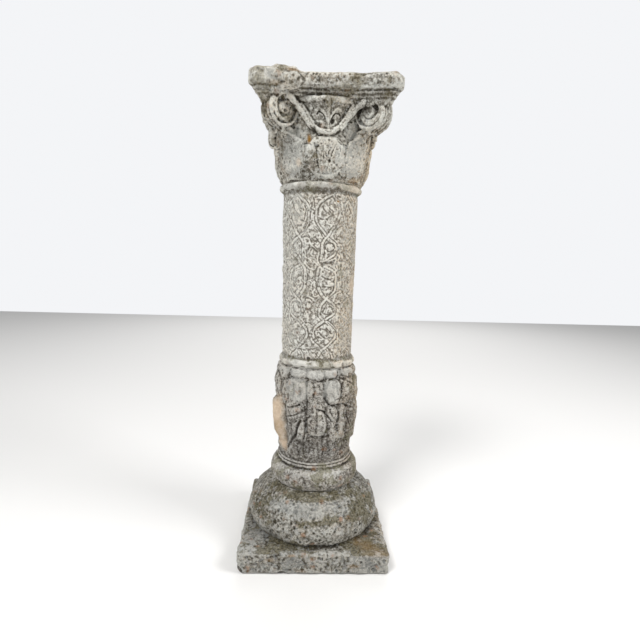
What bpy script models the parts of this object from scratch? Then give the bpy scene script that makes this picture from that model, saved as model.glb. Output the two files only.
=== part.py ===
# Column pedestal of weathered stone, built of four stacked blocks: a plinth with a heavy round
# moulding, a convex drum carved with drapery, a shaft with knotwork, and a capital.
# Metres, +Z up. The origin is the middle of the plinth's underside, and the front faces -Y.
# Angles round the column are degrees from the front, positive towards +X.
import math

import bmesh
import bpy
from mathutils import Matrix, Vector, noise

# Driving dimensions: the stack
JOINT_GAP = 0.0003
PLINTH_SIDE = 0.300
PLINTH_HEIGHT = 0.049
BASE_TOP = 0.146
DRUM_TOP = 0.4007
SHAFT_TOP = 0.7330
SLAB_TOP = 0.887

# Driving dimensions: the shaft and its knotwork
SHAFT_RADIUS = 0.0695
SHAFT_FOOT = 0.418
SHAFT_HEAD = 0.720
RING_RADIUS = 0.0765
BAND_RISE = 0.0022
BAND_HALF_WIDTH = 0.0042
BAND_COLUMNS = 8
BAND_FIRST_COLUMN = 10.0
BAND_SWING = 15.5
KNOT_HEIGHTS = (0.408, 0.449, 0.490, 0.541, 0.600, 0.657, 0.714)

# Driving dimensions: the capital
BELL_TURN = 1.6
CAPITAL_SHIFT = 0.002
SLAB_HALF = 0.1268
SLAB_SAG = 0.016
SLAB_CHAMFER = 0.018
SLAB_BOTTOM = 0.843
SCROLL_RADIUS = 0.0255
SCROLL_THICKNESS = 0.026
SCROLL_REACH = 0.1135
SCROLL_HEIGHT = 0.8365

# Triangles that each carved block keeps
DRUM_TRIANGLES = 2600
SHAFT_TRIANGLES = 2900
CAPITAL_TRIANGLES = 3200
CAPITAL_VOXEL = 0.0022

# Worn plinth edges
EDGE_ROUNDING = 0.007
WEAR_SCALE = 0.035


def clear_scene():
    for obj in list(bpy.data.objects):
        bpy.data.objects.remove(obj, do_unlink=True)


def stone(name, colour, roughness):
    material = bpy.data.materials.new(name)
    material.use_nodes = True
    shader = material.node_tree.nodes["Principled BSDF"]
    shader.inputs["Base Color"].default_value = (*colour, 1.0)
    shader.inputs["Roughness"].default_value = roughness
    shader.inputs["Metallic"].default_value = 0.0
    material.diffuse_color = (*colour, 1.0)
    return material


def collection_named(name):
    collection = bpy.data.collections.new(name)
    bpy.context.scene.collection.children.link(collection)
    return collection


def add_object(name, mesh, collection):
    obj = bpy.data.objects.new(name, mesh)
    collection.objects.link(obj)
    return obj


def evaluated_mesh(obj):
    # The mesh that the object's modifiers make, as a mesh of its own
    graph = bpy.context.evaluated_depsgraph_get()
    graph.update()
    return bpy.data.meshes.new_from_object(obj.evaluated_get(graph))


def finish(obj, material):
    mesh = obj.data
    mesh.materials.clear()
    mesh.materials.append(material)
    mesh.shade_smooth()
    mesh.set_sharp_from_angle(angle=math.radians(40))


def turned(name, profile, steps, collection):
    # A turned solid: the profile runs from the top middle down the outside to the bottom middle
    outline = bpy.data.meshes.new(name)
    points = [(radius, 0.0, height) for radius, height in profile]
    outline.from_pydata(points, [(i, i + 1) for i in range(len(points) - 1)], [])
    obj = add_object(name, outline, collection)
    screw = obj.modifiers.new("Turn", "SCREW")
    screw.axis = "Z"
    screw.angle = math.tau
    screw.steps = steps
    screw.render_steps = steps
    screw.use_merge_vertices = True
    screw.merge_threshold = 0.00005
    obj.data = evaluated_mesh(obj)
    obj.modifiers.clear()
    bpy.data.meshes.remove(outline)
    return obj


def polar(point):
    angle = math.degrees(math.atan2(point.x, -point.y))
    return angle, point.z, math.hypot(point.x, point.y)


def on_column(angle, height, radius):
    turn = math.radians(angle)
    return Vector((radius * math.sin(turn), -radius * math.cos(turn), height))


def carve(obj, rule, core=0.001):
    # Moves every point outside the core by a rule from (angle, height, radius) to the same three
    for vertex in obj.data.vertices:
        angle, height, radius = polar(vertex.co)
        if radius > core:
            vertex.co = on_column(*rule(angle, height, radius))


def between(value, table):
    # Straight-line reading of a short profile given as (position, value) pairs
    if value <= table[0][0]:
        return table[0][1]
    for (low, first), (high, second) in zip(table, table[1:]):
        if value <= high:
            return first + (second - first) * (value - low) / (high - low)
    return table[-1][1]


def smooth(low, high, value):
    share = min(1.0, max(0.0, (value - low) / (high - low)))
    return share * share * (3 - 2 * share)


def wrapped(angle, pitch=360.0):
    return (angle + pitch / 2) % pitch - pitch / 2


def wear(point, depth, scale=WEAR_SCALE):
    # Soft unevenness of worn stone, between about -depth and +depth
    return depth * noise.noise(Vector(point) / scale)


def weather(obj, depth, low, high):
    # Moves the points between two levels along their normals by the wear pattern
    moves = [v.co + v.normal * wear(v.co, depth) for v in obj.data.vertices]
    for vertex, place in zip(obj.data.vertices, moves):
        if low < vertex.co.z < high:
            vertex.co = place


def boolean(obj, other, operation):
    change = obj.modifiers.new(operation.title(), "BOOLEAN")
    change.operation = operation
    change.solver = "EXACT"
    change.object = other
    mesh = evaluated_mesh(obj)
    obj.modifiers.clear()
    old = obj.data
    obj.data = mesh
    bpy.data.meshes.remove(old)
    bpy.data.objects.remove(other, do_unlink=True)


def press(obj, hollows):
    # Pushes the points that lie inside each ball out to its surface, as a blow chips an edge
    for centre, radius in hollows:
        for vertex in obj.data.vertices:
            away = vertex.co - centre
            if away.length < radius:
                vertex.co = centre + away.normalized() * radius


def thin(obj, triangles, levels):
    # Thins a finely carved skin to its triangles, then sets its flat ends level again
    count = sum(len(face.vertices) - 2 for face in obj.data.polygons)
    change = obj.modifiers.new("Thin", "DECIMATE")
    change.ratio = triangles / count
    obj.data = evaluated_mesh(obj)
    obj.modifiers.clear()
    for vertex in obj.data.vertices:
        for level in levels:
            if abs(vertex.co.z - level) < 0.0012:
                vertex.co.z = level


# Plinth and round moulding, one block

MOULDING_PROFILE = [
    (0.0000, BASE_TOP),
    (0.0800, BASE_TOP),
    (0.0880, 0.1435),
    (0.1060, 0.1340),
    (0.1240, 0.1170),
    (0.1360, 0.0960),
    (0.1410, 0.0790),
    (0.1385, 0.0620),
    (0.1310, 0.0490),
    (0.1290, 0.0440),
    (0.0000, 0.0440),
]
PLINTH_CHIPS = [
    (Vector((-0.158, -0.158, 0.004)), 0.021),
    (Vector((0.156, -0.156, 0.052)), 0.013),
    (Vector((-0.062, -0.158, -0.004)), 0.015),
    (Vector((0.158, 0.060, 0.056)), 0.016),
    (Vector((-0.040, 0.158, 0.056)), 0.015),
]


def plinth_block(collection):
    mesh = bpy.data.meshes.new("plinth_base")
    bm = bmesh.new()
    bmesh.ops.create_cube(bm, size=1.0)
    bmesh.ops.scale(bm, verts=bm.verts, vec=(PLINTH_SIDE, PLINTH_SIDE, PLINTH_HEIGHT))
    bmesh.ops.translate(bm, verts=bm.verts, vec=(0.0, 0.0, PLINTH_HEIGHT / 2))
    level = [e for e in bm.edges if abs(e.verts[0].co.z - e.verts[1].co.z) < 0.001]
    bmesh.ops.subdivide_edges(bm, edges=level, cuts=7, use_grid_fill=True)
    under = [f for f in bm.faces if f.calc_center_median().z < 0.001]
    bmesh.ops.dissolve_faces(bm, faces=under)
    rim = [e for e in bm.edges if e.calc_face_angle(0.0) > 1.0]
    bmesh.ops.bevel(bm, geom=rim, offset=EDGE_ROUNDING, segments=2, profile=0.5, affect="EDGES")
    bm.to_mesh(mesh)
    bm.free()
    return add_object("plinth_base", mesh, collection)


def build_base(collection):
    block = plinth_block(collection)
    moulding = turned("round_moulding", MOULDING_PROFILE, 44, collection)
    boolean(block, moulding, "UNION")
    weather(block, 0.0022, 0.004, BASE_TOP - 0.001)
    press(block, PLINTH_CHIPS)
    for vertex in block.data.vertices:
        vertex.co.z = max(0.0, vertex.co.z)
    finish(block, stone("mossy_stone", (0.34, 0.34, 0.29), 0.92))
    return block


# Lower drum: a round foot, two fillets and draped, lobed carving

DRUM_FOOT = BASE_TOP + JOINT_GAP
DRUM_WALL = [
    (0.2080, 0.0755),
    (0.2400, 0.0768),
    (0.3000, 0.0790),
    (0.3500, 0.0790),
    (0.3900, 0.0770),
    (0.3980, 0.0752),
]
DRUM_FOOT_PROFILE = [
    (0.0760, 0.2065),
    (0.0785, 0.2045),
    (0.0790, 0.2025),
    (0.0770, 0.2000),
    (0.0795, 0.1980),
    (0.0800, 0.1955),
    (0.0780, 0.1930),
    (0.0835, 0.1900),
    (0.0890, 0.1850),
    (0.0925, 0.1760),
    (0.0935, 0.1670),
    (0.0915, 0.1565),
    (0.0880, 0.1500),
    (0.0835, DRUM_FOOT),
    (0.0000, DRUM_FOOT),
]
DRUM_STEPS = 120
DRUM_ROW_STEP = 0.0036
DRAPERY_REPEAT = 180.0
# Each form of the drapery: angle, height, half width in degrees, half height, rise
SWELLINGS = {
    "knot_left": (-28, 0.391, 13, 0.012, 0.0065),
    "knot_middle": (-3, 0.388, 13, 0.011, 0.0060),
    "knot_right": (20, 0.392, 10, 0.011, 0.0060),
    "knot_far_right": (52, 0.390, 12, 0.012, 0.0060),
    "knot_far_left": (-57, 0.386, 11, 0.016, 0.0050),
    "knot_edge": (80, 0.388, 13, 0.012, 0.0045),
    "swag_left": (-30, 0.357, 17, 0.026, 0.0070),
    "swag_edge": (-53, 0.348, 8, 0.026, 0.0045),
    "swag_side": (-75, 0.352, 12, 0.028, 0.0065),
    "swag_middle": (-2, 0.355, 13, 0.026, 0.0050),
    "tail_right": (25, 0.354, 12, 0.027, 0.0085),
    "tail_far_right": (52, 0.354, 14, 0.027, 0.0075),
    "tail_edge": (80, 0.347, 13, 0.033, 0.0085),
    "folds_left": (-33, 0.312, 17, 0.030, 0.0055),
    "folds_side": (-66, 0.300, 15, 0.034, 0.0055),
    "folds_middle": (-4, 0.322, 13, 0.016, 0.0040),
    "bundle": (1, 0.291, 15, 0.030, 0.0100),
    "fall": (-21, 0.272, 8, 0.028, 0.0065),
    "swirl": (22, 0.304, 10, 0.027, 0.0050),
    "pleat_near": (42, 0.290, 9, 0.046, 0.0060),
    "pleat_far": (60, 0.288, 10, 0.048, 0.0065),
    "pleat_edge": (81, 0.286, 12, 0.050, 0.0080),
    "hem_left": (-33, 0.234, 17, 0.026, 0.0045),
    "hem_side": (-66, 0.232, 15, 0.024, 0.0040),
    "hem_middle": (-4, 0.236, 15, 0.026, 0.0040),
    "hem_right": (27, 0.246, 17, 0.036, 0.0045),
    "hem_far": (57, 0.226, 15, 0.020, 0.0030),
}
FORM_SQUARENESS = 2.6
# Each deep crease: upper angle and height, lower angle and height, half width, depth
CREASES = {
    "slant": (-23, 0.294, -49, 0.230, 0.0060, 0.0060),
    "beside_bundle": (-12, 0.312, -15, 0.262, 0.0050, 0.0045),
    "between_swags": (-14, 0.380, -14, 0.320, 0.0035, 0.0030),
    "beside_tail": (13, 0.378, 14, 0.330, 0.0040, 0.0030),
    "edge": (-60, 0.372, -58, 0.330, 0.0050, 0.0045),
}
# The strip where an edge of the carving has broken away: angle and height at both ends
BREAK_TOP = (-80.0, 0.325)
BREAK_FOOT = (-58.0, 0.228)
BREAK_HALF_WIDTH = 11.0
BREAK_RISE = 0.0130


def swelling_rise(angle, height):
    rise = 0.0
    for middle, level, half_angle, half_height, top in SWELLINGS.values():
        across = abs(wrapped(angle - middle, DRAPERY_REPEAT)) / half_angle
        along = abs(height - level) / half_height
        distance = across ** FORM_SQUARENESS + along ** FORM_SQUARENESS
        if distance < 1.0:
            rise = max(rise, top * (1.0 - distance) ** 0.5)
    return rise


def crease_depth(angle, height):
    depth = 0.0
    for high_angle, high, low_angle, low, half_width, deepest in CREASES.values():
        share = min(1.0, max(0.0, (high - height) / (high - low)))
        line = high_angle + (low_angle - high_angle) * share
        sideways = math.radians(wrapped(angle - line, DRAPERY_REPEAT)) * 0.080
        beyond = max(0.0, height - high, low - height)
        distance = math.hypot(sideways, beyond) / half_width
        depth = max(depth, deepest * (1.0 - smooth(0.2, 1.0, distance)))
    return depth


def break_rise(angle, height):
    share = (BREAK_TOP[1] - height) / (BREAK_TOP[1] - BREAK_FOOT[1])
    if not -0.12 < share < 1.05:
        return 0.0
    line = BREAK_TOP[0] + (BREAK_FOOT[0] - BREAK_TOP[0]) * share
    across = wrapped(angle - line) / BREAK_HALF_WIDTH
    ends = smooth(-0.12, 0.08, share) * (1.0 - smooth(0.6, 1.05, share))
    return BREAK_RISE * ends * max(0.0, 1.0 - across * across) ** 0.5


def drum_rule(angle, height, radius):
    spot = on_column(angle, height, radius)
    if height > DRUM_TOP - 0.001 or height < DRUM_FOOT + 0.001:
        return angle, height, radius
    if height < 0.208:
        return angle, height, radius + wear(spot, 0.0012)
    fade = smooth(0.208, 0.225, height)
    rise = max(swelling_rise(angle, height), break_rise(angle, height))
    depth = crease_depth(angle, height)
    return angle, height, radius + fade * (rise - depth) + wear(spot, 0.0010)


def drum_profile():
    low, high = DRUM_WALL[0][0], DRUM_WALL[-1][0]
    rows = int((high - low) / DRUM_ROW_STEP)
    heights = [high - (high - low) * row / rows for row in range(rows + 1)]
    wall = [(between(height, DRUM_WALL), height) for height in heights]
    return [(0.0, DRUM_TOP), (0.0730, DRUM_TOP)] + wall + DRUM_FOOT_PROFILE


def build_drum(collection):
    drum = turned("lower_drum", drum_profile(), DRUM_STEPS, collection)
    carve(drum, drum_rule)
    thin(drum, DRUM_TRIANGLES, (DRUM_FOOT, DRUM_TOP))
    finish(drum, stone("carved_grey_stone", (0.33, 0.31, 0.28), 0.92))
    return drum


# Shaft: eight columns of interlaced bands, each pair swinging apart and crossing at the knots

SHAFT_STEPS = 168
ROW_STEP = 0.0037
SHAFT_BOTTOM = DRUM_TOP + JOINT_GAP
RING_WAVE = 0.0018


def shaft_profile():
    head_ring = [
        (0.0, SHAFT_TOP),
        (0.0725, SHAFT_TOP),
        (RING_RADIUS, 0.7305),
        (RING_RADIUS + 0.0006, 0.7260),
        (RING_RADIUS - 0.0030, 0.7215),
        (SHAFT_RADIUS, 0.7190),
    ]
    rows = int((KNOT_HEIGHTS[-1] - SHAFT_FOOT) / ROW_STEP) + 1
    wall = [(SHAFT_RADIUS, KNOT_HEIGHTS[-1] - ROW_STEP * row) for row in range(rows)]
    foot_ring = [
        (SHAFT_RADIUS + 0.0005, 0.4165),
        (RING_RADIUS - 0.0010, 0.4130),
        (RING_RADIUS + 0.0005, 0.4080),
        (RING_RADIUS - 0.0010, 0.4030),
        (0.0730, SHAFT_BOTTOM),
        (0.0, SHAFT_BOTTOM),
    ]
    return head_ring + wall + foot_ring


def knot_place(height):
    # Which loop of a column this height lies in: its share of the loop, and the loop's length
    height = min(max(height, KNOT_HEIGHTS[0] + 0.0001), KNOT_HEIGHTS[-1] - 0.0001)
    for low, high in zip(KNOT_HEIGHTS, KNOT_HEIGHTS[1:]):
        if height <= high:
            break
    return (height - low) / (high - low), high - low


def band_rise(offset, height):
    # Height of the nearer of a column's two bands, which swing apart and cross at each knot
    share, length = knot_place(height)
    place = BAND_SWING * math.sin(math.pi * share)
    slope = math.radians(BAND_SWING) * SHAFT_RADIUS * math.cos(math.pi * share) * math.pi / length
    sideways = math.radians(abs(abs(offset) - place)) * SHAFT_RADIUS
    distance = sideways / math.hypot(1.0, slope) / BAND_HALF_WIDTH
    return BAND_RISE * max(0.0, 1.0 - distance * distance) ** 0.5


def filling_rise(offset, height):
    # A small boss inside each loop, and a leaf in the gap between two columns
    share = knot_place(height)[0]
    boss = max(0.0, 1.0 - ((share - 0.5) / 0.22) ** 2 - (offset / 8.0) ** 2)
    beside = 180.0 / BAND_COLUMNS - abs(offset)
    at_knot = min(share, 1.0 - share)
    leaf = max(0.0, 1.0 - (at_knot / 0.30) ** 2 - (beside / 9.0) ** 2)
    return BAND_RISE * 0.8 * max(boss, leaf) ** 0.5


def shaft_rule(angle, height, radius):
    pitch = 360.0 / BAND_COLUMNS
    if height > SHAFT_HEAD - 0.002 or height < SHAFT_FOOT:
        wave = RING_WAVE * noise.noise(on_column(angle, 0.0, 1.0) * 1.8 + Vector((0, 0, height * 9)))
        flat = height > SHAFT_TOP - 0.001 or height < SHAFT_BOTTOM + 0.001
        return angle, height if flat else height + wave, radius if flat else radius + wave * 0.5
    offset = wrapped(angle - BAND_FIRST_COLUMN, pitch)
    rise = max(band_rise(offset, height), filling_rise(offset, height))
    ends = smooth(SHAFT_FOOT, SHAFT_FOOT + 0.006, height)
    spot = on_column(angle, height, radius)
    return angle, height, radius + rise * ends + wear(spot, 0.0007)


def build_shaft(collection):
    shaft = turned("shaft", shaft_profile(), SHAFT_STEPS, collection)
    carve(shaft, shaft_rule)
    thin(shaft, SHAFT_TRIANGLES, (SHAFT_BOTTOM, SHAFT_TOP))
    finish(shaft, stone("pale_grey_stone", (0.47, 0.44, 0.39), 0.90))
    return shaft


# Capital: bell with leaves, corner scrolls, ribbons and a hollow-sided slab

CAPITAL_BOTTOM = SHAFT_TOP + JOINT_GAP
BELL_PROFILE = [
    (0.7290, 0.0725),
    (0.7410, 0.0755),
    (0.7480, 0.0790),
    (0.7560, 0.0815),
    (0.7660, 0.0840),
    (0.7810, 0.0852),
    (0.8000, 0.0865),
    (0.8150, 0.0885),
    (0.8300, 0.0920),
    (0.8420, 0.0965),
    (0.8455, 0.0985),
    (0.8475, 0.1045),
    (0.8530, 0.1050),
    (0.8555, 0.1000),
    (0.8600, 0.0980),
]
LEAF_RISE = 0.0042
LEAF_SCALLOP = 0.05
LEAF_FOOT = 0.7365
LEAF_TOP = 0.7960
LEAF_HALF_ANGLE = 25.0
CORNER_LEAF_HALF_ANGLE = 20.0
CORNER_LEAF_THICKNESS = 0.010
CORNER_LEAF_PATH = [
    (0.00, 0.0725, 0.738),
    (0.20, 0.0800, 0.758),
    (0.45, 0.0838, 0.782),
    (0.65, 0.0880, 0.799),
    (0.80, 0.0970, 0.811),
    (0.92, 0.1070, 0.816),
    (1.00, 0.1150, 0.812),
]
RIBBON_PATH = [
    (0.0, 0.8015),
    (7.0, 0.8030),
    (12.0, 0.8080),
    (17.0, 0.8170),
    (22.0, 0.8290),
    (27.0, 0.8415),
    (32.0, 0.8530),
    (37.0, 0.8595),
    (43.0, 0.8605),
]
RIBBON_RADIUS = 0.0048
PANEL_RISE = 0.0040
PALMETTE_RADIUS = 0.0031
SLAB_PROFILE = [
    (0.8870, 0.0095),
    (0.8850, 0.0045),
    (0.8790, 0.0010),
    (0.8700, 0.0000),
    (0.8645, 0.0025),
    (0.8615, 0.0070),
    (0.8600, 0.0125),
    (0.8570, 0.0130),
    (0.8555, 0.0175),
    (0.8525, 0.0180),
    (0.8510, 0.0225),
    (SLAB_BOTTOM, 0.0290),
]
# The shapeless lump left on the slab's front edge: middle and half sizes
LUMP_MIDDLE = Vector((-0.0650, -0.1040, 0.8755))
LUMP_HALF = Vector((0.0330, 0.0175, 0.0165))
# Where the slab has lost stone: middle and radius of each hollow
SLAB_CHIPS = [
    (Vector((0.130, -0.124, 0.901)), 0.026),
    (Vector((-0.010, -0.122, 0.878)), 0.022),
    (Vector((0.012, -0.120, 0.892)), 0.019),
]
# Wear of the joined block: two corners of the slab, two scrolls and one ribbon
CAPITAL_CHIPS = [
    (Vector((-0.133, -0.126, 0.840)), 0.024),
    (Vector((-0.150, 0.135, 0.868)), 0.054),
    (Vector((-0.122, 0.116, 0.822)), 0.032),
    (Vector((-0.108, -0.098, 0.806)), 0.020),
    (Vector((0.128, 0.002, 0.822)), 0.031),
]


def bell_radius(height):
    return between(height, BELL_PROFILE)


def leaf_rule(angle, height, radius):
    # The broad leaf in the middle of each side, a shield with a scalloped edge and a midrib,
    # and over it the raised panel that the ribbon edges
    offset = wrapped(angle, 90.0)
    along = (height - LEAF_FOOT) / (LEAF_TOP - LEAF_FOOT)
    if not 0.0 < along < 1.0:
        arm = between(abs(offset), RIBBON_PATH)
        inside = smooth(arm, arm + 0.004, height) * (1.0 - smooth(0.8440, 0.8470, height))
        return angle, height, radius + PANEL_RISE * inside
    scallop = 1.0 + LEAF_SCALLOP * math.cos(along * 5 * math.tau)
    foot = (1.0 - (1.0 - min(1.0, along / 0.75)) ** 3.2) ** 0.55
    breadth = LEAF_HALF_ANGLE * scallop * foot * (1.0 - along ** 6) ** 0.5
    inside = 1.0 - smooth(0.82, 1.0, abs(offset) / breadth)
    curl = 1.0 + 0.5 * smooth(0.7, 0.95, along)
    groove = 0.35 * (1.0 - smooth(0.0, 2.5, abs(abs(offset) - 6.0 - 5.0 * along)))
    return angle, height, radius + LEAF_RISE * inside * (curl - groove)


def bell(collection):
    levels = 48
    low, high = BELL_PROFILE[0][0], BELL_PROFILE[-1][0]
    heights = [high - (high - low) * level / levels for level in range(levels + 1)]
    profile = [(0.0, high)] + [(bell_radius(z), z) for z in heights] + [(0.0, low)]
    obj = turned("bell", profile, 144, collection)
    carve(obj, leaf_rule)
    return obj


def corner_leaf(angle, collection):
    # A tall leaf on the corner, bent outward at the tip under the scroll
    mesh = bpy.data.meshes.new("corner_leaf")
    bm = bmesh.new()
    bmesh.ops.create_grid(bm, x_segments=8, y_segments=14, size=1.0)
    radii = [(share, radius) for share, radius, height in CORNER_LEAF_PATH]
    heights = [(share, height) for share, radius, height in CORNER_LEAF_PATH]
    for vertex in bm.verts:
        share = (vertex.co.y + 1.0) / 2
        narrowing = (1.0 - 0.72 * smooth(0.50, 0.9, share)) * (0.7 + 0.3 * smooth(0.0, 0.3, share))
        ripple = 1.0 + 0.10 * math.cos(share * 4 * math.tau)
        offset = vertex.co.x * CORNER_LEAF_HALF_ANGLE * narrowing * ripple
        radius = between(share, radii) + 0.0015 * math.cos(vertex.co.x * math.pi)
        height = between(share, heights) - 0.006 * vertex.co.x ** 2 * smooth(0.6, 1.0, share)
        vertex.co = on_column(angle + offset, height, radius)
    bmesh.ops.recalc_face_normals(bm, faces=bm.faces)
    bm.to_mesh(mesh)
    bm.free()
    obj = add_object("corner_leaf", mesh, collection)
    wall = obj.modifiers.new("Thickness", "SOLIDIFY")
    wall.thickness = CORNER_LEAF_THICKNESS
    wall.offset = 0.0
    obj.data = evaluated_mesh(obj)
    obj.modifiers.clear()
    return obj


def scroll(angle, collection):
    # A turned disc on its side, thicker towards the bell, with a sunk channel round the eye
    half = SCROLL_THICKNESS / 2
    face = [(0.0, half), (0.0065, half), (0.0085, half - 0.005), (0.0150, half - 0.005)]
    face += [(0.0175, half), (SCROLL_RADIUS - 0.002, half), (SCROLL_RADIUS, half - 0.003)]
    profile = face + [(radius, -height) for radius, height in reversed(face)]
    obj = turned("scroll", profile, 40, collection)
    for vertex in obj.data.vertices:
        inward = (SCROLL_RADIUS - vertex.co.x) / (2 * SCROLL_RADIUS)
        vertex.co.z *= 1.0 + 0.85 * inward
    outward = Matrix.Rotation(math.radians(angle - 90), 4, "Z")
    place = Matrix.Translation((SCROLL_REACH, 0.0, SCROLL_HEIGHT))
    obj.data.transform(outward @ place @ Matrix.Rotation(math.radians(90), 4, "X"))
    return obj


def ribbon(side, hand, collection):
    # One arm of the ribbon, from the middle of a side up over the scroll
    curve = bpy.data.curves.new("ribbon", "CURVE")
    curve.dimensions = "3D"
    curve.bevel_depth = RIBBON_RADIUS
    curve.bevel_resolution = 2
    curve.use_fill_caps = True
    spline = curve.splines.new("POLY")
    spline.points.add(len(RIBBON_PATH) - 1)
    for point, (angle, height) in zip(spline.points, RIBBON_PATH):
        reach = bell_radius(height) + 0.0055 + 0.010 * smooth(20.0, 42.0, angle)
        point.co = (*on_column(side + hand * angle, height, reach), 1.0)
    source = add_object("ribbon", curve, collection)
    mesh = evaluated_mesh(source)
    bpy.data.objects.remove(source, do_unlink=True)
    return add_object("ribbon", mesh, collection)


def palmette(side, collection):
    # The small upright stem with two curled tendrils between the ribbon's arms
    pieces = []
    arms = [[(0.0, 0.806), (0.0, 0.848)]]
    for hand in (-1, 1):
        arms.append([(0.0, 0.812), (hand * 3.0, 0.827), (hand * 6.5, 0.837), (hand * 11.0, 0.831)])
    for arm in arms:
        curve = bpy.data.curves.new("palmette", "CURVE")
        curve.dimensions = "3D"
        curve.bevel_depth = PALMETTE_RADIUS
        curve.bevel_resolution = 2
        curve.use_fill_caps = True
        spline = curve.splines.new("POLY")
        spline.points.add(len(arm) - 1)
        for point, (angle, height) in zip(spline.points, arm):
            reach = bell_radius(height) + PANEL_RISE + 0.0008
            point.co = (*on_column(side + angle, height, reach), 1.0)
        source = add_object("palmette", curve, collection)
        mesh = evaluated_mesh(source)
        bpy.data.objects.remove(source, do_unlink=True)
        pieces.append(add_object("palmette", mesh, collection))
    return pieces


def slab_reach(angle):
    # Distance from the axis to the slab's outline: hollow sides and cut corners
    offset = math.radians(abs(wrapped(angle, 90.0)))
    reach = SLAB_HALF
    for _ in range(8):
        sideways = reach * math.sin(offset)
        hollow = SLAB_SAG * (1.0 - (sideways / SLAB_HALF) ** 2)
        reach = (SLAB_HALF - hollow) / math.cos(offset)
    corner = (2 * SLAB_HALF - SLAB_CHAMFER) / math.sqrt(2)
    return min(reach, corner / math.cos(math.pi / 4 - offset))


def slab(collection):
    profile = [(0.0, SLAB_TOP)] + [(1.0 - inset, height) for height, inset in SLAB_PROFILE]
    profile += [(0.0, SLAB_BOTTOM)]
    obj = turned("slab", profile, 72, collection)

    def rule(angle, height, share):
        return angle, height, slab_reach(angle) - (1.0 - share)

    carve(obj, rule)
    press(obj, SLAB_CHIPS)
    return obj


def lump(collection):
    mesh = bpy.data.meshes.new("lump")
    bm = bmesh.new()
    bmesh.ops.create_icosphere(bm, subdivisions=3, radius=1.0)
    for vertex in bm.verts:
        vertex.co *= 1.0 + 0.35 * noise.noise(vertex.co * 1.3)
        vertex.co = LUMP_MIDDLE + vertex.co * LUMP_HALF
    bm.to_mesh(mesh)
    bm.free()
    return add_object("lump", mesh, collection)


def join_shapes(name, shapes, collection):
    bm = bmesh.new()
    for shape in shapes:
        bm.from_mesh(shape.data)
    mesh = bpy.data.meshes.new(name)
    bm.to_mesh(mesh)
    bm.free()
    for shape in shapes:
        bpy.data.objects.remove(shape, do_unlink=True)
    return add_object(name, mesh, collection)


def fuse(obj):
    # Makes the overlapping forms one skin
    skin = obj.modifiers.new("Skin", "REMESH")
    skin.mode = "VOXEL"
    skin.voxel_size = CAPITAL_VOXEL
    obj.data = evaluated_mesh(obj)
    obj.modifiers.clear()


def level_ends(obj):
    # A true plane under the bell and another on the slab's top, for what stands on it
    bm = bmesh.new()
    bm.from_mesh(obj.data)
    geometry = bm.verts[:] + bm.edges[:] + bm.faces[:]
    bmesh.ops.bisect_plane(
        bm, geom=geometry, plane_co=(0, 0, CAPITAL_BOTTOM), plane_no=(0, 0, 1), clear_inner=True
    )
    rim = [edge for edge in bm.edges if edge.is_boundary]
    bmesh.ops.contextual_create(bm, geom=rim)
    flat = [f for f in bm.faces if all(abs(v.co.z - SLAB_TOP) < 1e-6 for v in f.verts)]
    inner = {e for f in flat for e in f.edges if all(g in flat for g in e.link_faces)}
    bmesh.ops.dissolve_edges(bm, edges=list(inner), use_verts=True, use_face_split=False)
    bmesh.ops.recalc_face_normals(bm, faces=bm.faces)
    bm.to_mesh(obj.data)
    bm.free()


def build_capital(collection):
    shapes = [bell(collection)]
    for side in (0, 90, 180, 270):
        corner = side + 45
        shapes.append(corner_leaf(corner, collection))
        shapes.append(scroll(corner, collection))
        shapes += [ribbon(side, hand, collection) for hand in (-1, 1)]
        shapes += palmette(side, collection)
    for shape in shapes:
        shape.data.transform(Matrix.Rotation(math.radians(BELL_TURN), 4, "Z"))
    shapes += [slab(collection), lump(collection)]
    capital = join_shapes("capital", shapes, collection)
    capital.data.transform(Matrix.Translation((CAPITAL_SHIFT, 0.0, 0.0)))
    fuse(capital)
    press(capital, CAPITAL_CHIPS)
    fuse(capital)
    thin(capital, CAPITAL_TRIANGLES, (SLAB_TOP,))
    level_ends(capital)
    finish(capital, stone("capital_stone", (0.42, 0.41, 0.36), 0.92))
    return capital


def main():
    clear_scene()
    pedestal = collection_named("column_pedestal")
    build_base(pedestal)
    build_drum(pedestal)
    build_shaft(pedestal)
    build_capital(pedestal)


main()
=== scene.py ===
# Looks of the column pedestal: four carved blocks of old cast stone, worn, pitted and grown over.
# Metres, +Z up. Angles round the column are degrees from the front, positive towards +X,
# and carving lines are lists of (angle, height in millimetres).
import math

import bmesh
import bpy
import numpy as np
from mathutils import Matrix, Vector, kdtree, noise


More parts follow.
